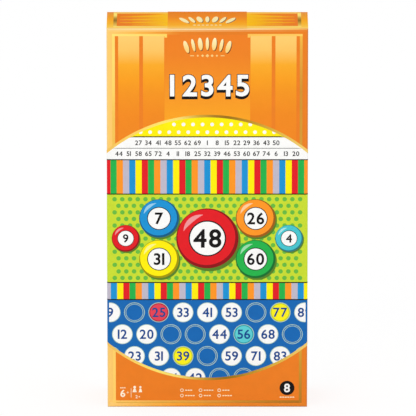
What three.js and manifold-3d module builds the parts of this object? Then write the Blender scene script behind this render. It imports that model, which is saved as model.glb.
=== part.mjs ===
// Bingo game in a two-part board box, standing on its narrow end.
// A deep lid slides over a base. Inside, a formed tray holds a number spinner with a turning arrow,
// two stacks of number cards and a row of chips, with the folded rules behind it.
// Millimetres. X is the width, Y runs from the cover to the back, and Z is up.
// The origin is under the middle of the box, on the surface that it stands on.

import * as THREE from 'three';
import { mergeVertices } from 'three/addons/utils/BufferGeometryUtils.js';
import Module from 'manifold-3d';

const wasm = await Module();
wasm.setup();

// Driving dimensions

const box = {
  width: 135,
  height: 265,
  depth: 45,
};

// Folding box board, and how its layers lie in a rolled end wall
const board = {
  thickness: 0.8,
  layerGap: 0.2,
  foldRadius: 1.2,
  flapLength: 30,
};

// Play between the parts of the box, and under whatever rests on something
const play = {
  telescope: 0.6,
  rim: 0.4,
  seat: 0.3,
};

// Two tabs at the foot of the lid's rolled bottom wall, locked into slots in its panel
const lockTab = {
  width: 28.4,
  fromMiddle: 25.2,
  play: 0.15,
  recess: 0.15,
  stopHoleDiameter: 1.2,
};

// Half-round cut in each long wall of the lid, to pull the base out by
const thumbNotch = {
  radius: 11,
};

// Tray formed from plastic sheet
const tray = {
  film: 0.8,
  setback: 2.6,
  sideFit: 0.4,
  skirtDraft: 1.2,
  edgeRadius: 2,
  pocketDraft: 0.4,
  outerLand: 3.3,
  innerLand: 3,
  scoopLand: 10,
  scoopRadius: 11,
  scoopExtraDepth: 5,
  cornerScoopRadius: 9,
};

const card = {
  thickness: 1.2,
  cornerRadius: 3,
  stacks: 2,
  perStack: 4,
  gap: 0.25,
  sidePlay: 0.5,
  sink: 0.6,
};

const chip = {
  diameter: 12.7,
  thickness: 1.5,
  rimChamfer: 0.3,
  gap: 0.25,
  perColour: 12,
  sink: 0.6,
};

const trough = {
  endScoop: 15,
  endSlope: 5,
  cornerRadius: 1.5,
};

const spinner = {
  boardThickness: 2,
  sidePlay: 0.7,
};

const pivot = {
  postDiameter: 4.4,
  flangeDiameter: 12,
  flangeThickness: 0.8,
  runningPlay: 0.3,
  washerDiameter: 8.4,
  washerThickness: 0.6,
  capDiameter: 7.6,
  capThickness: 1.8,
  capDome: 0.7,
  capSocketDepth: 0.9,
  reliefPlay: 1.5,
};

const arrow = {
  thickness: 2,
  headReach: 42,
  headLength: 9,
  headHalfWidth: 5.5,
  headNotch: 1.2,
  neckHalfWidth: 1.6,
  rootHalfWidth: 2.1,
  hubRadius: 6,
  tailReach: 37,
  tailHalfWidth: 1.8,
  barHalfLength: 6.8,
  barThickness: 3.4,
  barSweep: 0.6,
  hubRimHeight: 0.5,
  hubRimWidth: 1.4,
  restTurn: THREE.MathUtils.degToRad(50),
};

const leaflet = {
  width: 105,
  height: 148,
  leafThickness: 0.3,
  leafGap: 0.35,
};

// How finely round forms are cut into flats
const facets = {
  foldCorner: 4,
  pocketCorner: 4,
  well: 64,
  scoop: 24,
  disc: 56,
  chip: 18,
  pivot: 24,
  dome: 4,
  hole: 20,
  troughRings: 7,
  stopHole: 10,
};

// How far a cutting solid runs past the face that it cuts
const overrun = 2;

// Solids

// The volume inside a closed mesh, below zero where its faces point inwards
function signedVolume(position, index) {
  const a = new THREE.Vector3();
  const b = new THREE.Vector3();
  const c = new THREE.Vector3();
  let volume = 0;
  for (let i = 0; i < index.length; i += 3) {
    a.fromBufferAttribute(position, index[i]);
    b.fromBufferAttribute(position, index[i + 1]);
    c.fromBufferAttribute(position, index[i + 2]);
    volume += a.dot(b.cross(c)) / 6;
  }
  return volume;
}

// A solid from a closed geometry, whichever way its faces point
function solid(geometry) {
  const bare = geometry.clone();
  bare.deleteAttribute('normal');
  bare.deleteAttribute('uv');
  const merged = mergeVertices(bare);
  const index = Array.from(merged.index.array);
  if (signedVolume(merged.attributes.position, index) < 0) {
    index.reverse();
  }
  return new wasm.Manifold(new wasm.Mesh({
    numProp: 3,
    vertProperties: merged.attributes.position.array,
    triVerts: new Uint32Array(index),
  }));
}

function geometryOf(body) {
  const mesh = body.getMesh();
  const geometry = new THREE.BufferGeometry();
  geometry.setAttribute('position', new THREE.Float32BufferAttribute(mesh.vertProperties, 3));
  geometry.setIndex(Array.from(mesh.triVerts));
  geometry.computeVertexNormals();
  return geometry;
}

function joined(bodies) {
  return bodies.reduce((sum, body) => sum.add(body));
}

// A box between two corners
function block(low, high) {
  const size = high.map((value, i) => value - low[i]);
  const middle = high.map((value, i) => (value + low[i]) / 2);
  return solid(new THREE.BoxGeometry(...size).translate(...middle));
}

// A shape pushed along one axis. It is drawn in (y, z) for x, in (x, z) for y and in (x, y) for z.
function extruded(axis, shape, from, to, curveSegments = facets.foldCorner) {
  const geometry = new THREE.ExtrudeGeometry(shape, {
    depth: to - from,
    bevelEnabled: false,
    curveSegments,
  });
  const turn = new THREE.Matrix4();
  if (axis === 'x') {
    turn.makeBasis(new THREE.Vector3(0, 1, 0), new THREE.Vector3(0, 0, 1), new THREE.Vector3(1, 0, 0));
    geometry.applyMatrix4(turn).translate(from, 0, 0);
  } else if (axis === 'y') {
    turn.makeBasis(new THREE.Vector3(1, 0, 0), new THREE.Vector3(0, 0, 1), new THREE.Vector3(0, -1, 0));
    geometry.applyMatrix4(turn).translate(0, to, 0);
  } else {
    geometry.translate(0, 0, from);
  }
  return solid(geometry);
}

// A rectangle with a radius at each corner, given from low-low round to low-high. Zero is square.
function roundedRectangle(u0, v0, u1, v1, [lowLow, highLow, highHigh, lowHigh]) {
  const quarter = Math.PI / 2;
  const corners = [
    [u0, v0, lowLow, 1, 1, 2],
    [u1, v0, highLow, -1, 1, 3],
    [u1, v1, highHigh, -1, -1, 0],
    [u0, v1, lowHigh, 1, -1, 1],
  ];
  const shape = new THREE.Shape();
  corners.forEach(([u, v, radius, toU, toV, start], i) => {
    if (radius > 0) {
      const from = start * quarter;
      shape.absarc(u + toU * radius, v + toV * radius, radius, from, from + quarter, false);
    } else if (i === 0) {
      shape.moveTo(u, v);
    } else {
      shape.lineTo(u, v);
    }
  });
  shape.closePath();
  return shape;
}

function evenCorners(radius) {
  return [radius, radius, radius, radius];
}

// A round bar along X or Y, centred on a point
function roundBar(axis, radius, from, to, [u, v], sides) {
  const shape = new THREE.Shape();
  shape.absarc(u, v, radius, 0, 2 * Math.PI, false);
  return extruded(axis, shape, from, to, sides);
}

// A solid of revolution about the Y axis, from (radius, y) points that start and end on the axis
function turned(points, sides) {
  const profile = points.map(([radius, y]) => new THREE.Vector2(radius, y));
  return solid(new THREE.LatheGeometry(profile, sides));
}

// A ring of points round (x, z) at one depth
function roundRing({ x, z }, radius, y, sides) {
  const ring = [];
  for (let i = 0; i < sides; i += 1) {
    const angle = (2 * Math.PI * i) / sides;
    ring.push(new THREE.Vector3(x + radius * Math.cos(angle), y, z + radius * Math.sin(angle)));
  }
  return ring;
}

// A rectangular ring with round corners about (x, z) at one depth
function squareRing({ x, z }, halfX, halfZ, radius, y) {
  const quarter = Math.PI / 2;
  const steps = facets.pocketCorner;
  const ring = [];
  [[1, 1], [-1, 1], [-1, -1], [1, -1]].forEach(([sideX, sideZ], corner) => {
    for (let i = 0; i <= steps; i += 1) {
      const angle = quarter * (corner + i / steps);
      ring.push(new THREE.Vector3(
        x + sideX * (halfX - radius) + radius * Math.cos(angle),
        y,
        z + sideZ * (halfZ - radius) + radius * Math.sin(angle),
      ));
    }
  });
  return ring;
}

// A solid through rings that have the same number of points, capped at both ends
function lofted(rings) {
  const count = rings[0].length;
  const points = rings.flat();
  const index = [];
  for (let r = 0; r < rings.length - 1; r += 1) {
    for (let i = 0; i < count; i += 1) {
      const next = (i + 1) % count;
      const a = r * count + i;
      const b = r * count + next;
      index.push(a, b, b + count, a, b + count, a + count);
    }
  }
  const last = (rings.length - 1) * count;
  for (let i = 1; i < count - 1; i += 1) {
    index.push(0, i + 1, i, last, last + i, last + i + 1);
  }
  const geometry = new THREE.BufferGeometry().setFromPoints(points);
  geometry.setIndex(index);
  return solid(geometry);
}

// The board box

// The thickness of a rolled end wall: the outer wall, the corner flap and the inner wall
const rolledWall = 3 * board.thickness + 2 * board.layerGap;

// A tray folded from one sheet of board. Its panel is at -Y, its walls run back from it to the
// rim at +Y, and it stands on z = 0. Its end walls roll over the corner flaps of its side walls.
function foldedTray({ width, height, depth }) {
  const t = board.thickness;
  const halfWidth = width / 2;
  const halfDepth = depth / 2;
  const innerHalf = halfWidth - t - board.layerGap;
  const flapStart = halfWidth - board.flapLength;
  const flapFront = -halfDepth + t + board.layerGap;
  const flapBack = halfDepth - t - board.layerGap;
  const wrapLow = t + board.layerGap;
  const wrapHigh = height - wrapLow;

  const panel = block([-halfWidth, -halfDepth, 0], [halfWidth, -halfDepth + t, height]);

  const sideWalls = [-1, 1].flatMap((side) => {
    const span = (near, far) => (side < 0 ? [-far, -near] : [near, far]);
    const [wallLow, wallHigh] = span(halfWidth - t, halfWidth);
    const [flapLow, flapHigh] = span(flapStart, halfWidth);
    return [
      block([wallLow, -halfDepth, wrapLow], [wallHigh, halfDepth, wrapHigh]),
      block([flapLow, flapFront, wrapLow], [flapHigh, flapBack, wrapLow + t]),
      block([flapLow, flapFront, wrapHigh - t], [flapHigh, flapBack, wrapHigh]),
    ];
  });
  const wrapOutline = roundedRectangle(
    -halfWidth, wrapLow, halfWidth, wrapHigh, evenCorners(board.foldRadius),
  );
  const wraps = joined(sideWalls).intersect(extruded('y', wrapOutline, -halfDepth, halfDepth));

  const endWalls = [false, true].flatMap((atTop) => {
    const span = (near, far) => (atTop ? [height - far, height - near] : [near, far]);
    const [outerLow, outerHigh] = span(0, t);
    const [rimLow, rimHigh] = span(0, rolledWall);
    const [innerLow, innerHigh] = span(rolledWall - t, rolledWall);
    return [
      block([-halfWidth, -halfDepth, outerLow], [halfWidth, halfDepth, outerHigh]),
      block([-innerHalf, halfDepth - t, rimLow], [innerHalf, halfDepth, rimHigh]),
      block([-innerHalf, flapFront, innerLow], [innerHalf, halfDepth, innerHigh]),
    ];
  });

  const fold = board.foldRadius;
  const plan = roundedRectangle(-halfWidth, -halfDepth, halfWidth, halfDepth, [fold, fold, 0, 0]);
  const side = roundedRectangle(-halfDepth, 0, halfDepth, height, evenCorners(fold));
  return joined([panel, wraps, ...endWalls])
    .intersect(extruded('z', plan, 0, height))
    .intersect(extruded('x', side, -halfWidth, halfWidth));
}

const lidHalfDepth = box.depth / 2;

// Slots in the lid's panel, the tabs in them, and the punched holes that end each slot
function withLockTabs(body) {
  const tabLow = rolledWall - board.thickness;
  const front = -lidHalfDepth;
  const back = front + board.thickness + board.layerGap;
  const slotFront = front - overrun;
  const holeRadius = lockTab.stopHoleDiameter / 2;
  const near = lockTab.fromMiddle;
  const far = near + lockTab.width;
  const slotHeight = [tabLow - lockTab.play, rolledWall + lockTab.play];
  const slotMiddle = (slotHeight[0] + slotHeight[1]) / 2;
  let result = body;
  for (const [low, high] of [[near, far], [-far, -near]]) {
    const slot = block([low, slotFront, slotHeight[0]], [high, back, slotHeight[1]]);
    const holes = [low, high].map((x) => roundBar(
      'y', holeRadius, slotFront, back, [x, slotMiddle], facets.stopHole,
    ));
    const tabStart = low + holeRadius + lockTab.play;
    const tabEnd = high - holeRadius - lockTab.play;
    const tab = block(
      [tabStart, front + lockTab.recess, tabLow],
      [tabEnd, back + overrun, rolledWall],
    );
    result = result.subtract(joined([slot, ...holes])).add(tab);
  }
  return result;
}

function makeLid() {
  const notches = roundBar(
    'x', thumbNotch.radius, -box.width, box.width, [lidHalfDepth, box.height / 2], facets.scoop,
  );
  return withLockTabs(foldedTray(box)).subtract(notches);
}

// The base fits inside the lid, with its panel at the back, flush with the lid's rim
const base = {
  width: box.width - 2 * (board.thickness + play.telescope),
  height: box.height - 2 * (rolledWall + play.telescope),
  depth: box.depth - board.thickness - play.rim,
};
const baseLow = rolledWall + play.telescope;
const baseMiddleY = lidHalfDepth - base.depth / 2;

function makeBase() {
  return foldedTray(base).rotate([0, 0, 180]).translate([0, baseMiddleY, baseLow]);
}

// The room inside the base
const room = {
  halfWidth: base.width / 2 - board.thickness,
  low: baseLow + rolledWall,
  high: baseLow + base.height - rolledWall,
  rim: lidHalfDepth - base.depth,
  back: lidHalfDepth - board.thickness,
};

// The tray's front plate, its foot, and what each pocket must be

const plateY = room.rim + tray.setback;
const footY = room.back - play.seat;
const foot = {
  halfWidth: room.halfWidth - tray.sideFit,
  low: room.low + tray.sideFit,
  high: room.high - tray.sideFit,
};
const plate = {
  halfWidth: foot.halfWidth - tray.skirtDraft,
  low: foot.low + tray.skirtDraft,
  high: foot.high - tray.skirtDraft,
};

// The spinner's layers, from the cap at the front to the floor of its well
const spinnerStack = pivot.capThickness + play.seat + arrow.thickness + play.seat
  + pivot.washerThickness + play.seat + spinner.boardThickness + play.seat;
const wellRadius = plate.halfWidth - tray.outerLand;
const wellFloorRadius = wellRadius - tray.pocketDraft;
const wellFloorY = plateY + spinnerStack;
const spinnerRadius = wellFloorRadius - spinner.sidePlay;
const hub = { x: 0, z: plate.high - tray.outerLand - wellRadius };

// The chips lie on edge in a round-bottomed trough along the foot of the tray
const chipRadius = chip.diameter / 2;
const troughRadius = chipRadius + play.seat;
const chipAxis = {
  y: plateY + chip.sink + chipRadius,
  z: plate.low + tray.outerLand + troughRadius + tray.pocketDraft,
};
const chipColours = ['red', 'teal', 'yellow'];
const chipPitch = chip.thickness + chip.gap;
const chipRowLength = chipColours.length * chip.perColour * chipPitch;

// The card pockets share what height is left between the well and the trough
const cardsHigh = hub.z - wellRadius - tray.innerLand;
const cardsLow = chipAxis.z + troughRadius + tray.pocketDraft + tray.innerLand;
const cardPocket = {
  halfWidth: plate.halfWidth - tray.outerLand,
  halfHeight: ((cardsHigh - cardsLow + tray.scoopLand) / card.stacks - tray.scoopLand) / 2,
  depth: card.sink + card.perStack * (card.thickness + card.gap) - card.gap + play.seat,
};
const cardPitch = 2 * cardPocket.halfHeight + tray.scoopLand;
const cardMiddles = Array.from(
  { length: card.stacks },
  (_, stack) => cardsHigh - cardPocket.halfHeight - stack * cardPitch,
);
const cardFloorY = plateY + cardPocket.depth;
const cardHalfWidth = cardPocket.halfWidth - tray.pocketDraft - card.sidePlay;
const cardHalfHeight = cardPocket.halfHeight - tray.pocketDraft - card.sidePlay;

// Each pocket as a solid that reaches past the front plate. Grown by the film's thickness, the
// same solid gives the far side of the sheet, so the wall has one thickness all over.

function wellPocket(grow) {
  const mouth = plateY - overrun;
  const rings = [
    roundRing(hub, wellRadius + grow, mouth, facets.well),
    roundRing(hub, wellRadius + grow, plateY, facets.well),
    roundRing(hub, wellFloorRadius + grow, wellFloorY + grow, facets.well),
  ];
  const reliefRadius = pivot.flangeDiameter / 2 + pivot.reliefPlay;
  const reliefFloor = wellFloorY + pivot.flangeThickness + play.seat;
  const relief = roundBar(
    'y', reliefRadius + grow, plateY, reliefFloor + grow, [hub.x, hub.z], facets.scoop,
  );
  return lofted(rings).add(relief);
}

// Finger scoops in the plate's corners beside the well
function cornerScoops(grow) {
  const reach = wellRadius * Math.SQRT1_2;
  const floor = wellFloorY + tray.scoopExtraDepth;
  return joined([-1, 1].map((side) => {
    const middle = { x: hub.x + side * reach, z: hub.z - side * reach };
    const radius = tray.cornerScoopRadius + grow;
    return lofted([
      roundRing(middle, radius + tray.pocketDraft, plateY - overrun, facets.scoop),
      roundRing(middle, radius, floor + grow, facets.scoop),
    ]);
  }));
}

function cardPockets(grow) {
  const { halfWidth, halfHeight } = cardPocket;
  const corner = card.cornerRadius + grow;
  return joined(cardMiddles.map((z) => {
    const middle = { x: 0, z };
    const mouthX = halfWidth + grow;
    const mouthZ = halfHeight + grow;
    return lofted([
      squareRing(middle, mouthX, mouthZ, corner, plateY - overrun),
      squareRing(middle, mouthX, mouthZ, corner, plateY),
      squareRing(middle, mouthX - tray.pocketDraft, mouthZ - tray.pocketDraft, corner, cardFloorY + grow),
    ]);
  }));
}

// A scoop between each two card pockets, deep enough to get a finger behind both stacks
function cardScoops(grow) {
  return joined(cardMiddles.slice(1).map((z) => {
    const middle = { x: 0, z: z + cardPitch / 2 };
    const floor = cardFloorY + tray.scoopExtraDepth;
    const radius = tray.scoopRadius + grow;
    return lofted([
      roundRing(middle, radius + tray.pocketDraft, plateY - overrun, facets.scoop),
      roundRing(middle, radius, floor + grow, facets.scoop),
    ]);
  }));
}

// Rings from the round bottom of the trough to the plate, longer towards the front at both ends
function chipTrough(grow) {
  const radius = troughRadius + grow;
  const steps = facets.troughRings;
  const floorHalf = chipRowLength / 2 + trough.endScoop - trough.endSlope + grow;
  const mouthHalf = floorHalf + trough.endSlope;
  const drop = chipAxis.y + radius - plateY;
  const halfLengthAt = (y) => mouthHalf - trough.endSlope * Math.max((y - plateY) / drop, 0);
  const middle = { x: 0, z: chipAxis.z };
  const rings = [];
  for (let i = 1; i <= steps; i += 1) {
    const angle = (Math.PI / 2) * (1 - i / steps);
    const y = chipAxis.y + radius * Math.sin(angle);
    const halfHeight = radius * Math.cos(angle);
    const corner = Math.min(trough.cornerRadius, halfHeight / 2);
    rings.push(squareRing(middle, halfLengthAt(y), halfHeight, corner, y));
  }
  for (const y of [plateY, plateY - overrun]) {
    const halfHeight = radius + tray.pocketDraft;
    rings.push(squareRing(middle, halfLengthAt(y), halfHeight, trough.cornerRadius, y));
  }
  return lofted(rings);
}

// The skirt and the front plate as one full solid, with a round front edge
function trayForm(inset, backY) {
  const middle = { x: 0, z: (foot.low + foot.high) / 2 };
  const ringAt = (y, shrink) => {
    const halfX = foot.halfWidth - shrink - inset;
    const halfZ = (foot.high - foot.low) / 2 - shrink - inset;
    return squareRing(middle, halfX, halfZ, tray.edgeRadius, y);
  };
  const front = plateY + inset;
  const radius = tray.edgeRadius - inset / 2;
  const eased = radius * (1 - Math.SQRT1_2);
  return lofted([
    ringAt(backY, 0),
    ringAt(front + radius, tray.skirtDraft - eased),
    ringAt(front + eased, tray.skirtDraft),
    ringAt(front, tray.skirtDraft + eased),
  ]);
}

function makeTray() {
  const pockets = (grow) => joined([
    wellPocket(grow),
    cornerScoops(grow),
    cardPockets(grow),
    cardScoops(grow),
    chipTrough(grow),
  ]);
  const outside = trayForm(0, footY).subtract(pockets(0));
  const inside = trayForm(tray.film, footY + overrun).subtract(pockets(tray.film));
  return outside.subtract(inside);
}

// The spinner

const spinnerBackY = wellFloorY - play.seat;
const spinnerFrontY = spinnerBackY - spinner.boardThickness;
const washerFrontY = spinnerFrontY - play.seat - pivot.washerThickness;
const arrowBackY = washerFrontY - play.seat;
const arrowFrontY = arrowBackY - arrow.thickness;
const capBackY = arrowFrontY - play.seat;
const postRadius = pivot.postDiameter / 2;
const pivotHoleRadius = postRadius + pivot.runningPlay;

function makeSpinnerBoard() {
  const shape = new THREE.Shape();
  shape.absarc(hub.x, hub.z, spinnerRadius, 0, 2 * Math.PI, false);
  const hole = roundBar(
    'y', pivotHoleRadius, spinnerFrontY - overrun, spinnerBackY + overrun, [hub.x, hub.z], facets.hole,
  );
  return extruded('y', shape, spinnerFrontY, spinnerBackY, facets.disc).subtract(hole);
}

// A post with a flange behind the board. Its tip ends inside the cap.
function makePivot() {
  const flangeFront = spinnerBackY + play.seat;
  const tip = capBackY - pivot.capSocketDepth + play.seat;
  const flangeRadius = pivot.flangeDiameter / 2;
  return turned([
    [0, flangeFront + pivot.flangeThickness],
    [flangeRadius, flangeFront + pivot.flangeThickness],
    [flangeRadius, flangeFront],
    [postRadius, flangeFront],
    [postRadius, tip],
    [0, tip],
  ], facets.pivot).translate([hub.x, 0, hub.z]);
}

function makeWasher() {
  const back = spinnerFrontY - play.seat;
  const hole = roundBar(
    'y', pivotHoleRadius, washerFrontY - overrun, back + overrun, [hub.x, hub.z], facets.hole,
  );
  return roundBar(
    'y', pivot.washerDiameter / 2, washerFrontY, back, [hub.x, hub.z], facets.pivot,
  ).subtract(hole);
}

// A low dome with a socket for the post's tip
function makeCap() {
  const radius = pivot.capDiameter / 2;
  const front = capBackY - pivot.capThickness;
  const shoulder = front + pivot.capDome;
  const socket = capBackY - pivot.capSocketDepth;
  const points = [[0, front]];
  for (let i = 1; i <= facets.dome; i += 1) {
    const angle = (Math.PI / 2) * (i / facets.dome);
    points.push([radius * Math.sin(angle), shoulder - pivot.capDome * Math.cos(angle)]);
  }
  points.push([radius, capBackY], [pivotHoleRadius, capBackY], [pivotHoleRadius, socket], [0, socket]);
  return turned(points, facets.pivot).translate([hub.x, 0, hub.z]);
}

// The arrow's outline, drawn with its head up and its hub on the origin. Only the right half is
// drawn, from the tip to the middle of the tail bar, and the left half mirrors it.
function arrowOutline() {
  const headBase = arrow.headReach - arrow.headLength;
  const barTop = -arrow.tailReach + arrow.barThickness;
  const rightHalf = [
    [0, arrow.headReach],
    [arrow.headHalfWidth, headBase],
    [arrow.neckHalfWidth, headBase + arrow.headNotch],
    [arrow.rootHalfWidth, 0],
    [arrow.tailHalfWidth, barTop],
    [arrow.barHalfLength, barTop - arrow.barSweep],
    [arrow.barHalfLength, -arrow.tailReach - arrow.barSweep],
    [0, -arrow.tailReach],
  ];
  const leftHalf = rightHalf.slice(1, -1).reverse().map(([x, z]) => [-x, z]);
  return new THREE.Shape([...rightHalf, ...leftHalf].map(([x, z]) => new THREE.Vector2(x, z)));
}

function makeArrow() {
  const bar = extruded('y', arrowOutline(), arrowFrontY, arrowBackY);
  const boss = roundBar('y', arrow.hubRadius, arrowFrontY, arrowBackY, [0, 0], facets.pivot);
  const rimFront = arrowFrontY - arrow.hubRimHeight;
  const rimInside = arrow.hubRadius - arrow.hubRimWidth;
  const rim = roundBar('y', arrow.hubRadius, rimFront, arrowBackY, [0, 0], facets.pivot)
    .subtract(roundBar('y', rimInside, rimFront - overrun, arrowFrontY, [0, 0], facets.pivot));
  const hole = roundBar(
    'y', pivotHoleRadius, arrowFrontY - overrun, arrowBackY + overrun, [0, 0], facets.hole,
  );
  return joined([bar, boss, rim]).subtract(hole);
}

// Cards, chips and rules

function makeCard(stack, layer) {
  const back = cardFloorY - play.seat - layer * (card.thickness + card.gap);
  const middle = cardMiddles[stack];
  const shape = roundedRectangle(
    -cardHalfWidth, middle - cardHalfHeight, cardHalfWidth, middle + cardHalfHeight,
    evenCorners(card.cornerRadius),
  );
  return extruded('y', shape, back - card.thickness, back);
}

// A disc with a chamfered rim, turned to lie on edge across the trough
function makeChip() {
  const half = chip.thickness / 2;
  const flat = chipRadius - chip.rimChamfer;
  return turned([
    [0, -half],
    [flat, -half],
    [chipRadius, -half + chip.rimChamfer],
    [chipRadius, half - chip.rimChamfer],
    [flat, half],
    [0, half],
  ], facets.chip).rotate([0, 0, 90]);
}

// One folded sheet: two leaves and the round fold that joins them along its left side
function makeLeaflet() {
  const back = room.back - play.seat;
  const front = back - 2 * leaflet.leafThickness - leaflet.leafGap;
  const middle = (front + back) / 2;
  const foldRadius = (back - front) / 2;
  const insideRadius = leaflet.leafGap / 2;
  const left = -leaflet.width / 2;
  const right = leaflet.width / 2;
  const shape = new THREE.Shape();
  shape.moveTo(right, front);
  shape.lineTo(right, front + leaflet.leafThickness);
  shape.absarc(left + foldRadius, middle, insideRadius, 1.5 * Math.PI, 0.5 * Math.PI, true);
  shape.lineTo(right, back - leaflet.leafThickness);
  shape.lineTo(right, back);
  shape.absarc(left + foldRadius, middle, foldRadius, 0.5 * Math.PI, 1.5 * Math.PI, false);
  shape.closePath();
  const low = foot.low + tray.film + play.seat;
  return extruded('z', shape, low, low + leaflet.height);
}

// The assembly

function material(name, color, roughness, metalness = 0) {
  return new THREE.MeshStandardMaterial({ name, color, roughness, metalness });
}

const finish = {
  cover: material('printed_cover', 0xec8a24, 0.38),
  base: material('base_board', 0xf3f1ec, 0.7),
  tray: material('formed_plastic', 0xf4f4f2, 0.35),
  wheel: material('printed_wheel', 0xf6f4ea, 0.45),
  card: material('printed_card', 0x1a69b4, 0.5),
  paper: material('paper', 0xf7f5ef, 0.85),
  redPlastic: material('red_plastic', 0xe0242b, 0.3),
  whitePlastic: material('white_plastic', 0xf2f2f0, 0.4),
  chips: {
    red: material('red_chip', 0xdc3f50, 0.25),
    teal: material('teal_chip', 0x38bccb, 0.25),
    yellow: material('yellow_chip', 0xf0ec2a, 0.25),
  },
};

const game = new THREE.Group();

function place(name, geometry, look, parent = game) {
  const mesh = new THREE.Mesh(geometry, look);
  mesh.name = name;
  parent.add(mesh);
  return mesh;
}

place('box_lid', geometryOf(makeLid()), finish.cover);
place('box_base', geometryOf(makeBase()), finish.base);
place('insert_tray', geometryOf(makeTray()), finish.tray);
place('rules_leaflet', geometryOf(makeLeaflet()), finish.paper);
place('spinner_board', geometryOf(makeSpinnerBoard()), finish.wheel);
place('spinner_pivot', geometryOf(makePivot()), finish.whitePlastic);
place('spinner_washer', geometryOf(makeWasher()), finish.whitePlastic);
place('spinner_cap', geometryOf(makeCap()), finish.redPlastic);

const turntable = new THREE.Group();
turntable.position.set(hub.x, 0, hub.z);
turntable.rotation.y = -arrow.restTurn;
place('spinner_arrow', geometryOf(makeArrow()), finish.redPlastic, turntable);
game.add(turntable);

cardMiddles.forEach((_, stack) => {
  for (let layer = 0; layer < card.perStack; layer += 1) {
    const number = stack * card.perStack + layer + 1;
    place(`bingo_card_${number}`, geometryOf(makeCard(stack, layer)), finish.card);
  }
});

const chipShape = geometryOf(makeChip());
chipColours.forEach((colour, group) => {
  for (let i = 0; i < chip.perColour; i += 1) {
    const number = group * chip.perColour + i;
    const mesh = place(`${colour}_chip_${i + 1}`, chipShape, finish.chips[colour]);
    mesh.position.set(
      (number + 0.5) * chipPitch - chipRowLength / 2,
      chipAxis.y,
      chipAxis.z,
    );
  }
});

game.updateMatrixWorld(true);

export default game;
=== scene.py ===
import logging
import math
from dataclasses import dataclass, field
from enum import Enum
from typing import Iterable, Iterator, Sequence

import bpy
import numpy as np
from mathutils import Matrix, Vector
from mathutils.geometry import delaunay_2d_cdt, interpolate_bezier


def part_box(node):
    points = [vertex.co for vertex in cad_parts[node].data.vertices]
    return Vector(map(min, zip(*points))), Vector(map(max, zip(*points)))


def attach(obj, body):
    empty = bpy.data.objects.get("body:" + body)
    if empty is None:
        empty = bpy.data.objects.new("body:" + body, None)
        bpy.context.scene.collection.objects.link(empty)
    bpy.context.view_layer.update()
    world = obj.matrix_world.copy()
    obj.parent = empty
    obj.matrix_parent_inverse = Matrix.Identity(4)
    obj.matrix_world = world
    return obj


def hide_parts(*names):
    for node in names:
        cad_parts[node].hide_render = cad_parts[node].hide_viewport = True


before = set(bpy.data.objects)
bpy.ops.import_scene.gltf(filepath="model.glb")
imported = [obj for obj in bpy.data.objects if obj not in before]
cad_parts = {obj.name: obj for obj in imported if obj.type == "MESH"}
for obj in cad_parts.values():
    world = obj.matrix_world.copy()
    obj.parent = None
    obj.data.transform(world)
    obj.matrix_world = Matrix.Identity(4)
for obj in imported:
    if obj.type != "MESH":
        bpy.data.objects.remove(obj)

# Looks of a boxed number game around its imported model. Sizes are millimetres, and colours are
# written as a screen shows them, from 0 to 255.

LOG = logging.getLogger("boxed_game")
MM = 0.001
Colour = tuple[int, int, int]
Point = tuple[float, float]
Stops = tuple[tuple[float, Colour], ...]
Inputs = dict[str | int, object]
Socket = bpy.types.NodeSocket


class Body(Enum):
    """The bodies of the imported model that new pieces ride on."""

    BASE = "base"
    LID = "lid"


class Slot(Enum):
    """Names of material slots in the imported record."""

    COVER = "printed_cover"
    PAPER = "paper"
    WHEEL = "printed_wheel"
    CARD = "printed_card"
    RED_CHIP = "red_chip"
    TEAL_CHIP = "teal_chip"
    YELLOW_CHIP = "yellow_chip"


class Axis(Enum):
    """An axis of the row frame, by its place in a vector."""

    X = 0
    Y = 1
    Z = 2


# Shaders


def linear(colour: Colour) -> list[float]:
    """The linear light of a screen colour, with an alpha of one."""
    shares = [value / 255 for value in colour]
    return [s / 12.92 if s <= 0.04045 else ((s + 0.055) / 1.055) ** 2.4 for s in shares] + [1.0]


def dimmed(colour: Colour, share: float) -> Colour:
    """A colour with each channel at a share of what it was."""
    return tuple(int(value * share) for value in colour)


class Nodes:
    """A node tree under construction."""

    def __init__(self, tree: bpy.types.NodeTree) -> None:
        """Work on a tree that exists."""
        self.tree = tree

    def feed(self, node: bpy.types.Node, inputs: Inputs) -> None:
        """Set or link inputs of a node.

        Args:
            node: The node.
            inputs: A value or a source socket, by each input's name or place.
        """
        for name, source in inputs.items():
            if isinstance(source, Socket):
                self.tree.links.new(source, node.inputs[name])
            else:
                node.inputs[name].default_value = source

    def add(self, kind: str, inputs: Inputs | None = None, **settings: object) -> bpy.types.Node:
        """Add a node.

        Args:
            kind: Its type.
            inputs: A value or a source socket, by each input's name or place.
            **settings: Its properties.

        Returns:
            The node.
        """
        node = self.tree.nodes.new(kind)
        for name, value in settings.items():
            setattr(node, name, value)
        self.feed(node, inputs or {})
        return node


@dataclass(frozen=True)
class Patches:
    """Soft patches: their size, how many finer octaves they have, and the noise they start and end at."""

    size: float
    detail: float
    start: float
    end: float


@dataclass(frozen=True)
class Grain:
    """Fine relief: the size of its features, how many finer octaves they have, and its depth."""

    size: float
    detail: float
    depth: float


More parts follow.
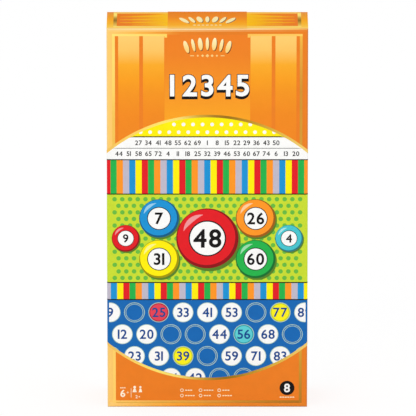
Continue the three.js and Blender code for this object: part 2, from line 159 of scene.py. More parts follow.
class Shader(Nodes):
    """A surface material under construction, with the few nodes that the finishes share."""

    def __init__(self, name: str) -> None:
        """Start a material.

        Args:
            name: Its name.
        """
        self.material = bpy.data.materials.new(name)
        self.material.use_nodes = True
        super().__init__(self.material.node_tree)
        self.principled = self.tree.nodes["Principled BSDF"]
        self.place = self.add("ShaderNodeTexCoord").outputs["Object"]

    def surface(self, **inputs: object) -> None:
        """Set or feed inputs of the surface shader, with underscores for the spaces in their names."""
        self.feed(self.principled, {name.replace("_", " "): source for name, source in inputs.items()})

    def noise(self, size: float, detail: float, stretch: Sequence[float] = (1, 1, 1)) -> Socket:
        """Noise over the object.

        Args:
            size: The size of its features.
            detail: How many finer octaves it has.
            stretch: How much longer the features are along each axis.

        Returns:
            The noise's value.
        """
        scale = [1 / share for share in stretch]
        mapping = self.add("ShaderNodeMapping", {"Vector": self.place, "Scale": scale}).outputs[0]
        inputs = {"Vector": mapping, "Scale": 1 / (size * MM), "Detail": detail}
        return self.add("ShaderNodeTexNoise", inputs).outputs[0]

    def ranged(self, value: Socket, source: Point, target: Point) -> Socket:
        """Map a value from one range onto another, held inside it."""
        limits = zip(("From Min", "From Max", "To Min", "To Max"), (*source, *target))
        return self.add("ShaderNodeMapRange", {"Value": value, **dict(limits)}).outputs[0]

    def cloudy(self, patches: Patches, colour: Colour, share: float) -> Socket:
        """A colour with soft patches of itself at a share of its brightness."""
        return self.mixed(self.patchy(patches), colour, dimmed(colour, share))

    def patchy(self, patches: Patches, low: float = 0.0, high: float = 1.0) -> Socket:
        """A value that goes from low to high in soft patches."""
        noise = self.noise(patches.size, patches.detail)
        return self.ranged(noise, (patches.start, patches.end), (low, high))

    def ramp(self, axis: Axis, stops: Stops) -> Socket:
        """Colour that changes along an axis.

        Args:
            axis: The axis.
            stops: Places along it, each with its colour.

        Returns:
            The colour.
        """
        first, last = stops[0][0], stops[-1][0]
        along = self.add("ShaderNodeSeparateXYZ", {0: self.place}).outputs[axis.value]
        node = self.add("ShaderNodeValToRGB", {0: self.ranged(along, (first * MM, last * MM), (0.0, 1.0))})
        elements = node.color_ramp.elements
        while len(elements) < len(stops):
            elements.new(1.0)
        for element, (place, colour) in zip(elements, stops):
            element.position = (place - first) / (last - first)
            element.color = linear(colour)
        return node.outputs[0]

    def mixed(self, share: Socket, *pair: Colour | Socket) -> Socket:
        """Mix two colours, each written or a socket, by the second one's share."""
        first, second = (one if isinstance(one, Socket) else linear(one) for one in pair)
        return self.add("ShaderNodeMix", {0: share, 6: first, 7: second}, data_type="RGBA").outputs[2]

    def relief(self, heights: Iterable[tuple[Socket, float]], rounding: float = 0.0) -> None:
        """Give the surface its fine relief.

        Args:
            heights: Heights from zero to one, each with its depth.
            rounding: How far edges look rounded.
        """
        normal = {}
        if rounding:
            bevel = self.add("ShaderNodeBevel", {"Radius": rounding * MM}, samples=4)
            normal = {"Normal": bevel.outputs[0]}
        for height, depth in heights:
            bump = self.add("ShaderNodeBump", {"Height": height, "Distance": depth * MM, **normal})
            normal = {"Normal": bump.outputs[0]}
        self.feed(self.principled, normal)

    def grained(self, grains: Iterable[Grain], rounding: float = 0.0) -> None:
        """Give the surface relief of several grains, and edges that look rounded."""
        self.relief([(self.noise(one.size, one.detail), one.depth) for one in grains], rounding)


@dataclass(frozen=True)
class Finish:
    """A named finish. Each kind fills in its own shader."""

    name: str

    def material(self) -> bpy.types.Material:
        """Make the finish's material, or find it where it is made already.

        Returns:
            The material.
        """
        found = bpy.data.materials.get(self.name)
        if found is None:
            shader = Shader(self.name)
            self.shade(shader)
            found = shader.material
        return found

    def shade(self, shader: Shader) -> None:
        """Fill in the shader."""
        raise NotImplementedError


@dataclass(frozen=True)
class Varnished(Finish):
    """Offset ink on coated board under a satin varnish."""

    gloss: float = field(default=0.12, kw_only=True)

    CLOUD = Patches(7.0, 4.0, 0.35, 0.75)
    PATCHY_VARNISH = Patches(16.0, 3.0, 0.3, 0.7)
    ROUGHNESS = (0.44, 0.53)
    TOOTH = (Grain(0.35, 2.0, 0.002), Grain(45.0, 1.0, 0.03))
    UNEVEN = 0.02

    def shade(self, shader: Shader) -> None:
        """Put the ink's colour under varnish, over the fine tooth of the board.

        Args:
            shader: The shader to fill in.
        """
        rough = shader.patchy(self.PATCHY_VARNISH, *self.ROUGHNESS)
        shader.surface(Base_Color=self.tone(shader), Specular_IOR_Level=self.gloss, Roughness=rough)
        shader.grained(self.TOOTH)

    def tone(self, shader: Shader) -> Socket:
        """The ink's colour."""
        raise NotImplementedError


@dataclass(frozen=True)
class Ink(Varnished):
    """Ink of one colour."""

    colour: Colour

    def tone(self, shader: Shader) -> Socket:
        """The colour, with the slight cloudiness of a printed solid."""
        return shader.cloudy(self.CLOUD, self.colour, 1 - self.UNEVEN)


@dataclass(frozen=True)
class GradedInk(Varnished):
    """Ink printed as a gradient along an axis."""

    axis: Axis
    stops: Stops

    def tone(self, shader: Shader) -> Socket:
        """The gradient, a little uneven as it lies on the board."""
        cloud = shader.patchy(self.CLOUD, 0.0, self.UNEVEN)
        return shader.mixed(cloud, shader.ramp(self.axis, self.stops), (0, 0, 0))


@dataclass(frozen=True)
class Board(Finish):
    """Bare folding box board: fibres, flecks and a soft tooth."""

    colour: Colour
    fleck: Colour
    fleck_share: float = 0.25
    roughness: float = 0.78

    FIBRES = Grain(0.9, 3.0, 0.02)
    FIBRE_STRETCH = (1, 1, 4)
    FLECKED = (0.55, 0.8)
    ROUGHENED = (0.3, 0.7)
    ROUGHNESS_SPREAD = (-0.05, 0.08)
    CLOUD = Patches(22.0, 2.0, 0.3, 0.7)
    CLOUD_COLOUR = (120, 112, 100)
    CLOUD_SHARE = 0.025
    WAVES = Grain(40.0, 1.0, 0.03)

    def shade(self, shader: Shader) -> None:
        """Make board with flecks of fibre.

        Args:
            shader: The shader to fill in.
        """
        fibres = shader.noise(self.FIBRES.size, self.FIBRES.detail, self.FIBRE_STRETCH)
        flecks = shader.ranged(fibres, self.FLECKED, (0.0, self.fleck_share))
        tone = shader.mixed(flecks, self.colour, self.fleck)
        cloud = shader.patchy(self.CLOUD, 0.0, self.CLOUD_SHARE)
        low, high = (self.roughness + change for change in self.ROUGHNESS_SPREAD)
        shader.surface(
            Base_Color=shader.mixed(cloud, tone, self.CLOUD_COLOUR),
            Specular_IOR_Level=0.3,
            Roughness=shader.ranged(fibres, self.ROUGHENED, (low, high)),
        )
        waves = shader.noise(self.WAVES.size, self.WAVES.detail)
        shader.relief(((fibres, self.FIBRES.depth), (waves, self.WAVES.depth)))


@dataclass(frozen=True)
class Plastic(Finish):
    """Moulded or formed plastic."""

    colour: Colour
    roughness: float = 0.3
    gloss: float = 0.5
    rounding: float = 0.25
    ripple: float = 0.01
    glow: float = 0.0

    CLOUD = Patches(30.0, 2.0, 0.35, 0.7)
    CLOUD_SHARE = 0.95
    SMUDGES = Patches(9.0, 4.0, 0.35, 0.75)
    ROUGHNESS_SPREAD = (-0.05, 0.1)
    GLOW_DEPTH = 2.0

    def shade(self, shader: Shader) -> None:
        """Make plastic with a faint ripple and slight smudges in its shine.

        Args:
            shader: The shader to fill in.
        """
        low, high = (self.roughness + change for change in self.ROUGHNESS_SPREAD)
        shader.surface(
            Base_Color=shader.cloudy(self.CLOUD, self.colour, self.CLOUD_SHARE),
            Specular_IOR_Level=self.gloss,
            Subsurface_Weight=self.glow,
            Subsurface_Scale=self.GLOW_DEPTH * MM,
            Roughness=shader.patchy(self.SMUDGES, low, high),
        )
        waves, fine = Grain(14.0, 1.0, 4 * self.ripple), Grain(1.2, 2.0, self.ripple)
        shader.grained((waves, fine), self.rounding)


@dataclass(frozen=True)
class TintedPlastic(Finish):
    """See-through tinted plastic of the counting chips."""

    colour: Colour

    CLOUD = Patches(3.0, 2.0, 0.35, 0.7)
    CLOUD_SHARE = 0.9
    SCUFFS = Patches(1.1, 4.0, 0.5, 0.85)
    ROUGHNESS = (0.06, 0.22)
    RIPPLE = Grain(2.4, 1.0, 0.006)

    def shade(self, shader: Shader) -> None:
        """Make tinted plastic with faint scuffs.

        Args:
            shader: The shader to fill in.
        """
        shader.surface(
            Base_Color=shader.cloudy(self.CLOUD, self.colour, self.CLOUD_SHARE),
            Transmission_Weight=0.5,
            IOR=1.49,
            Specular_IOR_Level=0.5,
            Roughness=shader.patchy(self.SCUFFS, *self.ROUGHNESS),
        )
        shader.grained([self.RIPPLE])


# Flat printed shapes

LEAST_AREA = 1e-9
MERGED_WITHIN = 1e-5
ROUNDNESS = 0.035


@dataclass(frozen=True)
class Stamp:
    """A flat printed shape: corners in millimetres and triangles that run to the left round."""

    corners: np.ndarray
    triangles: np.ndarray

    @classmethod
    def of(cls, corners: Sequence[Point], triangles: Sequence[Sequence[int]]) -> "Stamp":
        """Make a stamp with each triangle turned to run to the left round.

        Args:
            corners: Its corners.
            triangles: Three corners' places for each triangle.

        Returns:
            The stamp, without corners that no triangle has.
        """
        points, made = np.array(corners, float), np.array(triangles, int)
        a, b, c = (points[made[:, i]] for i in range(3))
        area = np.cross(b - a, c - a)
        made[area < 0] = made[area < 0][:, ::-1]
        used, index = np.unique(made[np.abs(area) > LEAST_AREA], return_inverse=True)
        return cls(points[used], index.reshape(-1, 3))

    def outline(self) -> np.ndarray:
        """Find the sides that only one triangle has.

        Returns:
            The two corners of each, with the filled side on the left.
        """
        sides = np.vstack([self.triangles[:, pair] for pair in ([0, 1], [1, 2], [2, 0])])
        count = len(self.corners)
        names, index = np.unique(np.sort(sides) @ [count, 1], return_inverse=True)
        balance = np.bincount(index.reshape(-1), np.sign(sides[:, 1] - sides[:, 0])).astype(int)
        single = np.repeat(names, np.abs(balance))
        forward = np.repeat(balance > 0, np.abs(balance))
        low, high = single // count, single % count
        return np.c_[np.where(forward, low, high), np.where(forward, high, low)]

    def loops(self, tolerance: float = 0.0) -> list[np.ndarray]:
        """The shape's outlines with only the corners that they need, the filled side on the left.

        Args:
            tolerance: How far an outline may move.

        Returns:
            The corners of each outline.
        """
        following: dict[int, list[int]] = {}
        for start, end in self.outline().tolist():
            following.setdefault(start, []).append(end)
        loops = []
        while following:
            loop = [next(iter(following))]
            while len(loop) == 1 or loop[-1] != loop[0]:
                ends = following[loop[-1]]
                if len(ends) == 1:
                    del following[loop[-1]]
                loop.append(ends.pop())
            loops.append(thinned(self.corners[loop], tolerance)[:-1])
        return [loop for loop in loops if len(loop) > 2]

    def placed(self, at: Point = (0.0, 0.0), scale: float = 1.0, turn: float = 0.0) -> "Stamp":
        """The same shape scaled and turned about its origin, and moved.

        Args:
            at: Where its origin goes.
            scale: How much larger it gets.
            turn: The turn to the left, in radians.

        Returns:
            The placed shape.
        """
        cos, sin = math.cos(turn), math.sin(turn)
        turned = self.corners * scale @ np.array([[cos, sin], [-sin, cos]])
        return Stamp(turned + np.array(at), self.triangles)


def thinned(line: np.ndarray, tolerance: float) -> np.ndarray:
    """Leave out the points of a line that its other points don't need.

    Args:
        line: The line's points.
        tolerance: How far a point that is left out may lie off the line.

    Returns:
        The points that are kept, with both ends.
    """
    run, reach = line[-1] - line[0], line - line[0]
    length = math.hypot(*run)
    off = np.abs(np.cross(run, reach)) / length if length > tolerance else np.hypot(*reach.T)
    far = int(off.argmax())
    if off[far] <= tolerance:
        return line[[0, -1]]
    return np.vstack([thinned(line[:far + 1], tolerance)[:-1], thinned(line[far:], tolerance)])


def grown(loop: np.ndarray, by: float, least_opening: float = 0.35) -> np.ndarray:
    """An outline moved outwards, away from its filled side, with its corners kept sharp.

    Args:
        loop: Its corners.
        by: How far it moves.
        least_opening: The least opening taken for a corner, which holds how far its tip can go.

    Returns:
        The new corners.
    """
    ahead = np.roll(loop, -1, axis=0) - loop
    ahead /= np.hypot(*ahead.T)[:, None]
    out = np.c_[ahead[:, 1], -ahead[:, 0]]
    before = np.roll(out, 1, axis=0)
    opening = np.maximum(1 + (out * before).sum(1), least_opening)
    return loop + by * (out + before) / opening[:, None]


def filled(loops: Sequence[np.ndarray], least: int = 1) -> Stamp:
    """What lies inside outlines that run to the left round it, also where they cross.

    Args:
        loops: The corners of each outline. One that runs to the right round cuts a hole.
        least: How many times the outlines must be wrapped round what is filled.

    Returns:
        The shape.
    """
    starts = np.vstack(loops)
    ends = np.vstack([np.roll(loop, -1, axis=0) for loop in loops])
    first = np.cumsum([0, *(len(loop) for loop in loops)])
    after = np.concatenate([np.roll(np.arange(a, b), -1) for a, b in zip(first, first[1:])])
    corners, sides = [Vector(corner) for corner in starts], list(enumerate(after.tolist()))
    placed, _, made, *_ = delaunay_2d_cdt(corners, sides, [], 0, MERGED_WITHIN)
    points, triangles = (np.array([tuple(row) for row in rows]) for rows in (placed, made))
    u, v = points[triangles].mean(1).T[:, :, None]
    (u0, v0), (u1, v1) = starts.T, ends.T
    to_left = (u1 - u0) * (v - v0) - (v1 - v0) * (u - u0)
    rising = (v0 <= v) & (v < v1) & (to_left > 0)
    falling = (v1 <= v) & (v < v0) & (to_left < 0)
    return Stamp.of(points, triangles[rising.sum(1) - falling.sum(1) >= least])


def union(stamps: Sequence[Stamp], tolerance: float = 0.02) -> Stamp:
    """One shape that covers what several overlapping ones cover, with its outline within the tolerance."""
    return filled(filled([loop for stamp in stamps for loop in stamp.loops()]).loops(tolerance))


def drop_shadow(stamp: Stamp, edge: float, drop: float) -> Stamp:
    """All that a shape with an edge round it passes over as it moves straight down.

    Args:
        stamp: The shape.
        edge: The edge's width.
        drop: How far it moves.

    Returns:
        The covered shape.
    """
    edged = filled([grown(loop, edge) for loop in stamp.loops()])
    sides = edged.corners[edged.outline()]
    swept = [convex([p, q, q - (0.0, drop), p - (0.0, drop)]) for p, q in sides]
    return union([edged, edged.placed((0.0, -drop)), *swept])


def ribbon(first: Sequence[Point], second: Sequence[Point], closed: bool = False) -> Stamp:
    """The strip between two lines with as many points each.

    Args:
        first: One line.
        second: The other line.
        closed: Whether the strip runs round to its start.

    Returns:
        The strip.
    """
    count = len(first)
    a = np.arange(count if closed else count - 1)
    b = (a + 1) % count
    return Stamp.of([*first, *second], np.vstack([np.c_[a, b, b + count], np.c_[a, b + count, a + count]]))


def convex(points: Sequence[Point]) -> Stamp:
    """A convex shape from its corners."""
    fan = np.arange(1, len(points) - 1)
    return Stamp.of(points, np.c_[np.zeros_like(fan), fan, fan + 1])


def rectangle(across: Point, up: Point) -> Stamp:
    """A rectangle over a span across and a span up, each in either order."""
    (left, right), (low, high) = sorted(across), sorted(up)
    return convex([(left, low), (right, low), (right, high), (left, high)])


def bar(middle: Point, half_width: float, half_height: float) -> Stamp:
    """A rectangle about a point."""
    u, v = middle
    return rectangle((u - half_width, u + half_width), (v - half_height, v + half_height))


def arc(radius: float, turns: Iterable[float], middle: Point = (0.0, 0.0)) -> list[Point]:
    """Points of a circle at some turns in radians, to the left from its right end."""
    return [(middle[0] + radius * math.cos(t), middle[1] + radius * math.sin(t)) for t in turns]


def circle(radius: float, middle: Point = (0.0, 0.0), sides: int = 0) -> list[Point]:
    """Points round a circle, to the left, as many as are asked for or as keep within the roundness."""
    sides = sides or math.ceil(math.pi / math.acos(1 - min(ROUNDNESS / radius, 0.5)))
    return arc(radius, [2 * math.pi * i / sides for i in range(sides)], middle)


def disc(radius: float, middle: Point = (0.0, 0.0)) -> Stamp:
    """A round spot."""
    return convex(circle(radius, middle))


def ring(inner: float, outer: float, middle: Point = (0.0, 0.0)) -> Stamp:
    """A round line between two radii."""
    around = circle(outer, middle)
    return ribbon(around, circle(inner, middle, len(around)), closed=True)


def rounded_rectangle(half: np.ndarray, radius: float, steps: int = 6) -> list[Point]:
    """Points round a rectangle about the origin with round corners, to the left.

    Args:
        half: Half its width and half its height.
        radius: Its corners' radius.
        steps: How many sides each corner has.

    Returns:
        The points.
    """
    points = []
    for corner, signs in enumerate(((1, 1), (-1, 1), (-1, -1), (1, -1))):
        turns = [math.pi / 2 * (corner + i / steps) for i in range(steps + 1)]
        points += arc(radius, turns, signs * (half - radius))
    return points


@dataclass(frozen=True)
class Digits:
    """The plain digits of Blender's own typeface as stamps one unit high.

    Boldness is how far the strokes' edges are moved out, and tolerance how near they keep to the
    typeface's, both in its own size.
    """

    boldness: float = 0.016
    tolerance: float = 0.004
    steps: int = 12
    gap: float = 0.12
    cut: dict[str, tuple[Stamp, float]] = field(default_factory=dict)

    def figure(self, character: str) -> tuple[Stamp, float]:
        """Cut one digit.

        Args:
            character: The digit.

        Returns:
            The digit, standing on its baseline from its left edge, and its width.
        """
        curve = bpy.data.curves.new("digit", "FONT")
        curve.body = character
        holder = bpy.data.objects.new("digit", curve)
        splines = holder.to_curve(bpy.context.evaluated_depsgraph_get()).splines
        loops = [self.outline(spline.bezier_points) for spline in splines]
        holder.to_curve_clear()
        bpy.data.objects.remove(holder)
        bpy.data.curves.remove(curve)
        turning = sum(float(np.cross(loop, np.roll(loop, -1, axis=0)).sum()) for loop in loops)
        stamp = filled([grown(loop if turning > 0 else loop[::-1], self.boldness) for loop in loops])
        low, high = stamp.corners.min(0), stamp.corners.max(0)
        width, height = high - low
        return stamp.placed(-low).placed(scale=1 / height), float(width / height)

    def outline(self, knots: Sequence[bpy.types.BezierSplinePoint]) -> np.ndarray:
        """Round the curve of one of the typeface's outlines.

        Args:
            knots: The curve's points and handles.

        Returns:
            The outline's corners.
        """
        line = []
        for a, b in zip(knots, [*knots[1:], knots[0]]):
            line += interpolate_bezier(a.co, a.handle_right, b.handle_left, b.co, self.steps)[:-1]
        points = np.array([corner[:2] for corner in [*line, line[0]]], float)
        return thinned(points, self.tolerance)[:-1]

    def number(self, value: int, height: float, middle: Point, turn: float = 0.0) -> list[Stamp]:
        """A number about a point.

        Args:
            value: The number.
            height: Its digits' height.
            middle: The middle of the number.
            turn: The turn to the left about that point, in radians.

        Returns:
            A stamp for each digit.
        """
        for character in str(value):
            if character not in self.cut:
                self.cut[character] = self.figure(character)
        figures = [self.cut[character] for character in str(value)]
        left = -(sum(width for _, width in figures) + self.gap * (len(figures) - 1)) / 2
        stamps = []
        for stamp, width in figures:
            stamps.append(stamp.placed((left, -0.5)).placed(middle, height, turn))
            left += width + self.gap
        return stamps


PLAIN = Digits()
BOLD = Digits(boldness=0.022, tolerance=0.002)


# Surfaces that print lies on


@dataclass(frozen=True)
class Face:
    """A flat face that print lies on, with its own two directions."""

    origin: Sequence[float]
    across: Sequence[float]
    up: Sequence[float]

    def at(self, points: np.ndarray, height: float) -> np.ndarray:
        """Points of the face lifted off it.

        Args:
            points: Places on the face in millimetres.
            height: How far off the face.

        Returns:
            Places in the row frame in metres.
        """
        across, up = np.array(self.across, float), np.array(self.up, float)
        flat = points[:, :1] * across + points[:, 1:] * up
        return (np.array(self.origin, float) + flat + height * np.cross(across, up)) * MM


@dataclass(frozen=True)
class FoldedFace(Face):
    """The cover, whose left and right edges turn back round their folds."""

    flat_half: float
    fold: float

    def at(self, points: np.ndarray, height: float) -> np.ndarray:
        """Points of the cover lifted off it, carried round the folds past its flat part.

        Args:
            points: Places on the unfolded cover in millimetres.
            height: How far off the cover.

        Returns:
            Places in the row frame in metres.
        """
        past = np.maximum(np.abs(points[:, 0]) - self.flat_half, 0)
        turn = np.minimum(past / self.fold, math.pi / 2)
        reach = self.fold + height
        folded = np.sign(points[:, 0]) * (self.flat_half + reach * np.sin(turn))
        x = np.where(past > 0, folded, points[:, 0])
        y = self.origin[1] + self.fold - reach * np.cos(turn)
        return np.c_[x, y, points[:, 1]] * MM


@dataclass(frozen=True)
class Layer:
    """Stamps in one finish, at one level above the face."""

    finish: Finish
    stamps: Sequence[Stamp]
    level: int = 1


INK_STEP = 0.025


def printed(name: str, face: Face, layers: Sequence[Layer], body: Body) -> None:
    """Print stamps on a face as thin closed shapes, in one new piece.

    Args:
        name: The piece's name.
        face: What it lies on.
        layers: Its inks, the upper ones over the lower.
        body: The body that it moves with.
    """
    points, faces, looks, materials = [], [], [], []
    start = 0
    for layer in layers:
        material = layer.finish.material()
        if material not in materials:
            materials.append(material)
        for stamp in layer.stamps:
            count = len(stamp.corners)
            points += [face.at(stamp.corners, 0.0), face.at(stamp.corners, INK_STEP * layer.level)]
            a, b = stamp.outline().T
            faces += (stamp.triangles[:, ::-1] + start).tolist()
            faces += (stamp.triangles + start + count).tolist()
            faces += (np.c_[a, b, b + count, a + count] + start).tolist()
            looks += [materials.index(material)] * (2 * len(stamp.triangles) + len(a))
            start += 2 * count
    mesh = bpy.data.meshes.new(name)
    mesh.from_pydata(np.vstack(points).tolist(), [], faces)
    for material in materials:
        mesh.materials.append(material)
    mesh.polygons.foreach_set("material_index", looks)
    joined_to(mesh, body)


def joined_to(mesh: bpy.types.Mesh, body: Body) -> bpy.types.Object:
    """Put a mesh in the scene as a piece that rides on a body.

    Args:
        mesh: The mesh.
        body: The body.

    Returns:
        The piece.
    """
    mesh.update()
    piece = bpy.data.objects.new(mesh.name, mesh)
    bpy.context.scene.collection.objects.link(piece)
    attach(piece, body.value)
    LOG.info("%s: %d faces on %s", mesh.name, len(mesh.polygons), body.value)
    return piece


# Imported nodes

WELD = 0.002
SQUARE_ON = 0.9


def corners_of(node: str) -> np.ndarray:
    """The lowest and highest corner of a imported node, in millimetres."""
    return np.array([list(corner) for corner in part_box(node)]) / MM


def front_of(node: str) -> tuple[Face, np.ndarray]:
    """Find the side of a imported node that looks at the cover.

    Args:
        node: Its name.

    Returns:
        The side, about its middle, and the node's size.
    """
    low, high = corners_of(node)
    middle = (low + high) / 2
    return Face((middle[0], low[1], middle[2]), (1, 0, 0), (0, 0, 1)), high - low


def smoothing(sharp: float = 32.0) -> bpy.types.NodeTree:
    """Geometry nodes that shade smooth below an edge angle, made once.

    Args:
        sharp: The angle in degrees.

    Returns:
        Their group.
    """
    group = bpy.data.node_groups.get("smooth_by_angle")
    if group is not None:
        return group
    group = bpy.data.node_groups.new("smooth_by_angle", "GeometryNodeTree")
    for direction in ("INPUT", "OUTPUT"):
        group.interface.new_socket("Geometry", in_out=direction, socket_type="NodeSocketGeometry")
    nodes = Nodes(group)
    start = nodes.add("NodeGroupInput").outputs[0]
    angle = nodes.add("GeometryNodeInputMeshEdgeAngle").outputs[0]
    inputs = {0: angle, 1: math.radians(sharp)}
    above = nodes.add("FunctionNodeCompare", inputs, operation="GREATER_THAN").outputs[0]
    faces = nodes.add("GeometryNodeSetShadeSmooth", {"Geometry": start}).outputs[0]
    inputs = {"Geometry": faces, "Selection": above, "Shade Smooth": False}
    edges = nodes.add("GeometryNodeSetShadeSmooth", inputs, domain="EDGE").outputs[0]
    nodes.add("NodeGroupOutput", {0: edges})
    return group


def dressed(node: str, *finishes: Finish) -> bpy.types.Object:
    """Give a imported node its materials, and smooth shading except at its edges.

    Args:
        node: Its name.
        *finishes: Its finishes.

    Returns:
        The node's object.
    """
    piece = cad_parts[node]
    for name in ("custom_normal", "sharp_edge", "sharp_face"):
        held = piece.data.attributes.get(name)
        if held is not None:
            piece.data.attributes.remove(held)
    piece.modifiers.new("weld", "WELD").merge_threshold = WELD * MM
    piece.modifiers.new("smooth", "NODES").node_group = smoothing()
    piece.data.materials.clear()
    for finish in finishes:
        piece.data.materials.append(finish.material())
    LOG.info("%s: %d faces dressed", node, len(piece.data.polygons))
    return piece


def faced(node: str, front: Finish, edge: Finish) -> None:
    """Dress a packed board with one finish on its two sides and another on its cut edge."""
    for face in dressed(node, front, edge).data.polygons:
        face.material_index = 0 if abs(face.normal[1]) > SQUARE_ON else 1


# Inks

GROUND: Colour = (236, 127, 33)
GLOW: Colour = (248, 162, 32)
DULL = 0.01

COLOURS: dict[str, Colour] = {
    "ground": GROUND,
    "white": (250, 250, 248),
    "black": (14, 12, 12),
    "yellow": (255, 238, 0),
    "red": (226, 28, 36),
    "blue": (27, 146, 212),
    "green": (35, 178, 75),
    "orange": (255, 150, 35),
    "grey": (190, 185, 200),
    "lime": (200, 220, 50),
    "leaf": (104, 186, 66),
    "card_blue": (20, 103, 178),
    "navy": (18, 70, 140),
    "mint": (178, 208, 190),
    "teal": (70, 196, 206),
    "pale": (254, 232, 190),
    "umber": (112, 62, 34),
    "chip_red": (228, 66, 84),
    "chip_red_edge": (176, 34, 56),
    "chip_teal": (92, 206, 212),
    "chip_teal_edge": (40, 158, 170),
    "chip_yellow": (252, 240, 24),
    "chip_yellow_edge": (196, 206, 40),
}

GRADIENTS: dict[str, tuple[Axis, Stops]] = {
    "middle_band": (Axis.Z, (
        (170.0, GLOW), (203.0, GLOW), (222.0, (244, 148, 34)), (246.0, (237, 130, 33)), (259.0, GROUND),
    )),
    "column": (Axis.Z, (
        (165.0, (237, 129, 32)), (205.0, (240, 137, 28)), (220.0, (243, 147, 28)), (230.0, (247, 158, 28)),
        (240.0, (249, 170, 38)), (250.0, (252, 196, 98)), (259.0, (253, 204, 110)),
    )),
    "foot_band": (Axis.X, (
        (-67.5, (254, 208, 122)), (-45.0, (248, 190, 86)), (-20.0, (248, 166, 48)),
        (0.0, (240, 152, 40)), (20.0, (235, 136, 40)), (67.5, (230, 132, 38)),
    )),
    # A painted highlight: a pale strip just under the top fold, standing in for light on the rounded fold.
    "painted_fold_highlight": (Axis.X, (
        (-67.5, (250, 208, 124)), (-36.0, (252, 206, 124)), (0.0, (243, 176, 104)),
        (24.0, (240, 160, 88)), (50.0, (234, 146, 66)), (67.5, (232, 134, 48)),
    )),
    "line_left": (Axis.Z, (
        (0.0, (254, 208, 106)), (40.0, (254, 210, 106)), (170.0, (242, 190, 84)), (205.0, (244, 196, 86)),
        (224.0, (253, 212, 102)), (246.0, (254, 220, 112)), (261.0, (254, 220, 112)),
    )),
    "line_right": (Axis.Z, (
        (0.0, (178, 118, 36)), (30.0, (204, 148, 46)), (60.0, (236, 174, 58)), (170.0, (214, 156, 54)),
        (222.0, (210, 144, 46)), (250.0, (232, 168, 62)), (260.0, (242, 186, 68)),
    )),
    "line_foot": (Axis.X, (
        (-63.8, (254, 206, 106)), (-45.0, (246, 192, 92)), (-20.0, (230, 174, 70)), (0.0, (226, 162, 68)),
        (20.0, (206, 146, 48)), (45.0, (190, 128, 38)), (63.8, (172, 116, 32)),
    )),
    "line_foot_shade": (Axis.X, (
        (-63.8, (226, 182, 82)), (-30.0, (218, 166, 66)), (0.0, (216, 150, 60)), (30.0, (192, 130, 44)),
        (63.8, (168, 110, 32)),
    )),
    "line_top": (Axis.X, (
        (-63.8, (254, 226, 120)), (-27.0, (252, 214, 100)), (27.0, (251, 196, 86)), (63.8, (251, 202, 94)),
    )),
    "emblem": (Axis.Z, ((245.0, (246, 206, 128)), (251.0, (250, 214, 130)), (259.0, (255, 246, 196)))),
    "rim": (Axis.X, (
        (-67.5, (240, 192, 94)), (-48.0, (250, 212, 98)), (-30.0, (252, 230, 110)), (-18.0, (246, 218, 110)),
        (-6.0, (208, 166, 58)), (6.0, (166, 122, 34)), (14.0, (152, 112, 22)), (30.0, (190, 144, 40)),
        (48.0, (224, 182, 66)), (67.5, (243, 208, 112)),
    )),
    "side_line": (Axis.Z, (
        (0.0, (214, 158, 56)), (90.0, (250, 208, 98)), (180.0, (255, 228, 120)), (265.0, (236, 186, 76)),
    )),
}

INKS: dict[str, Varnished] = {name: Ink(f"ink_{name}", colour) for name, colour in COLOURS.items()}
INKS |= {name: GradedInk(f"ink_{name}", *gradient) for name, gradient in GRADIENTS.items()}
SIX_INKS = ("blue", "yellow", "red", "green", "orange", "grey")


# Print on the lid


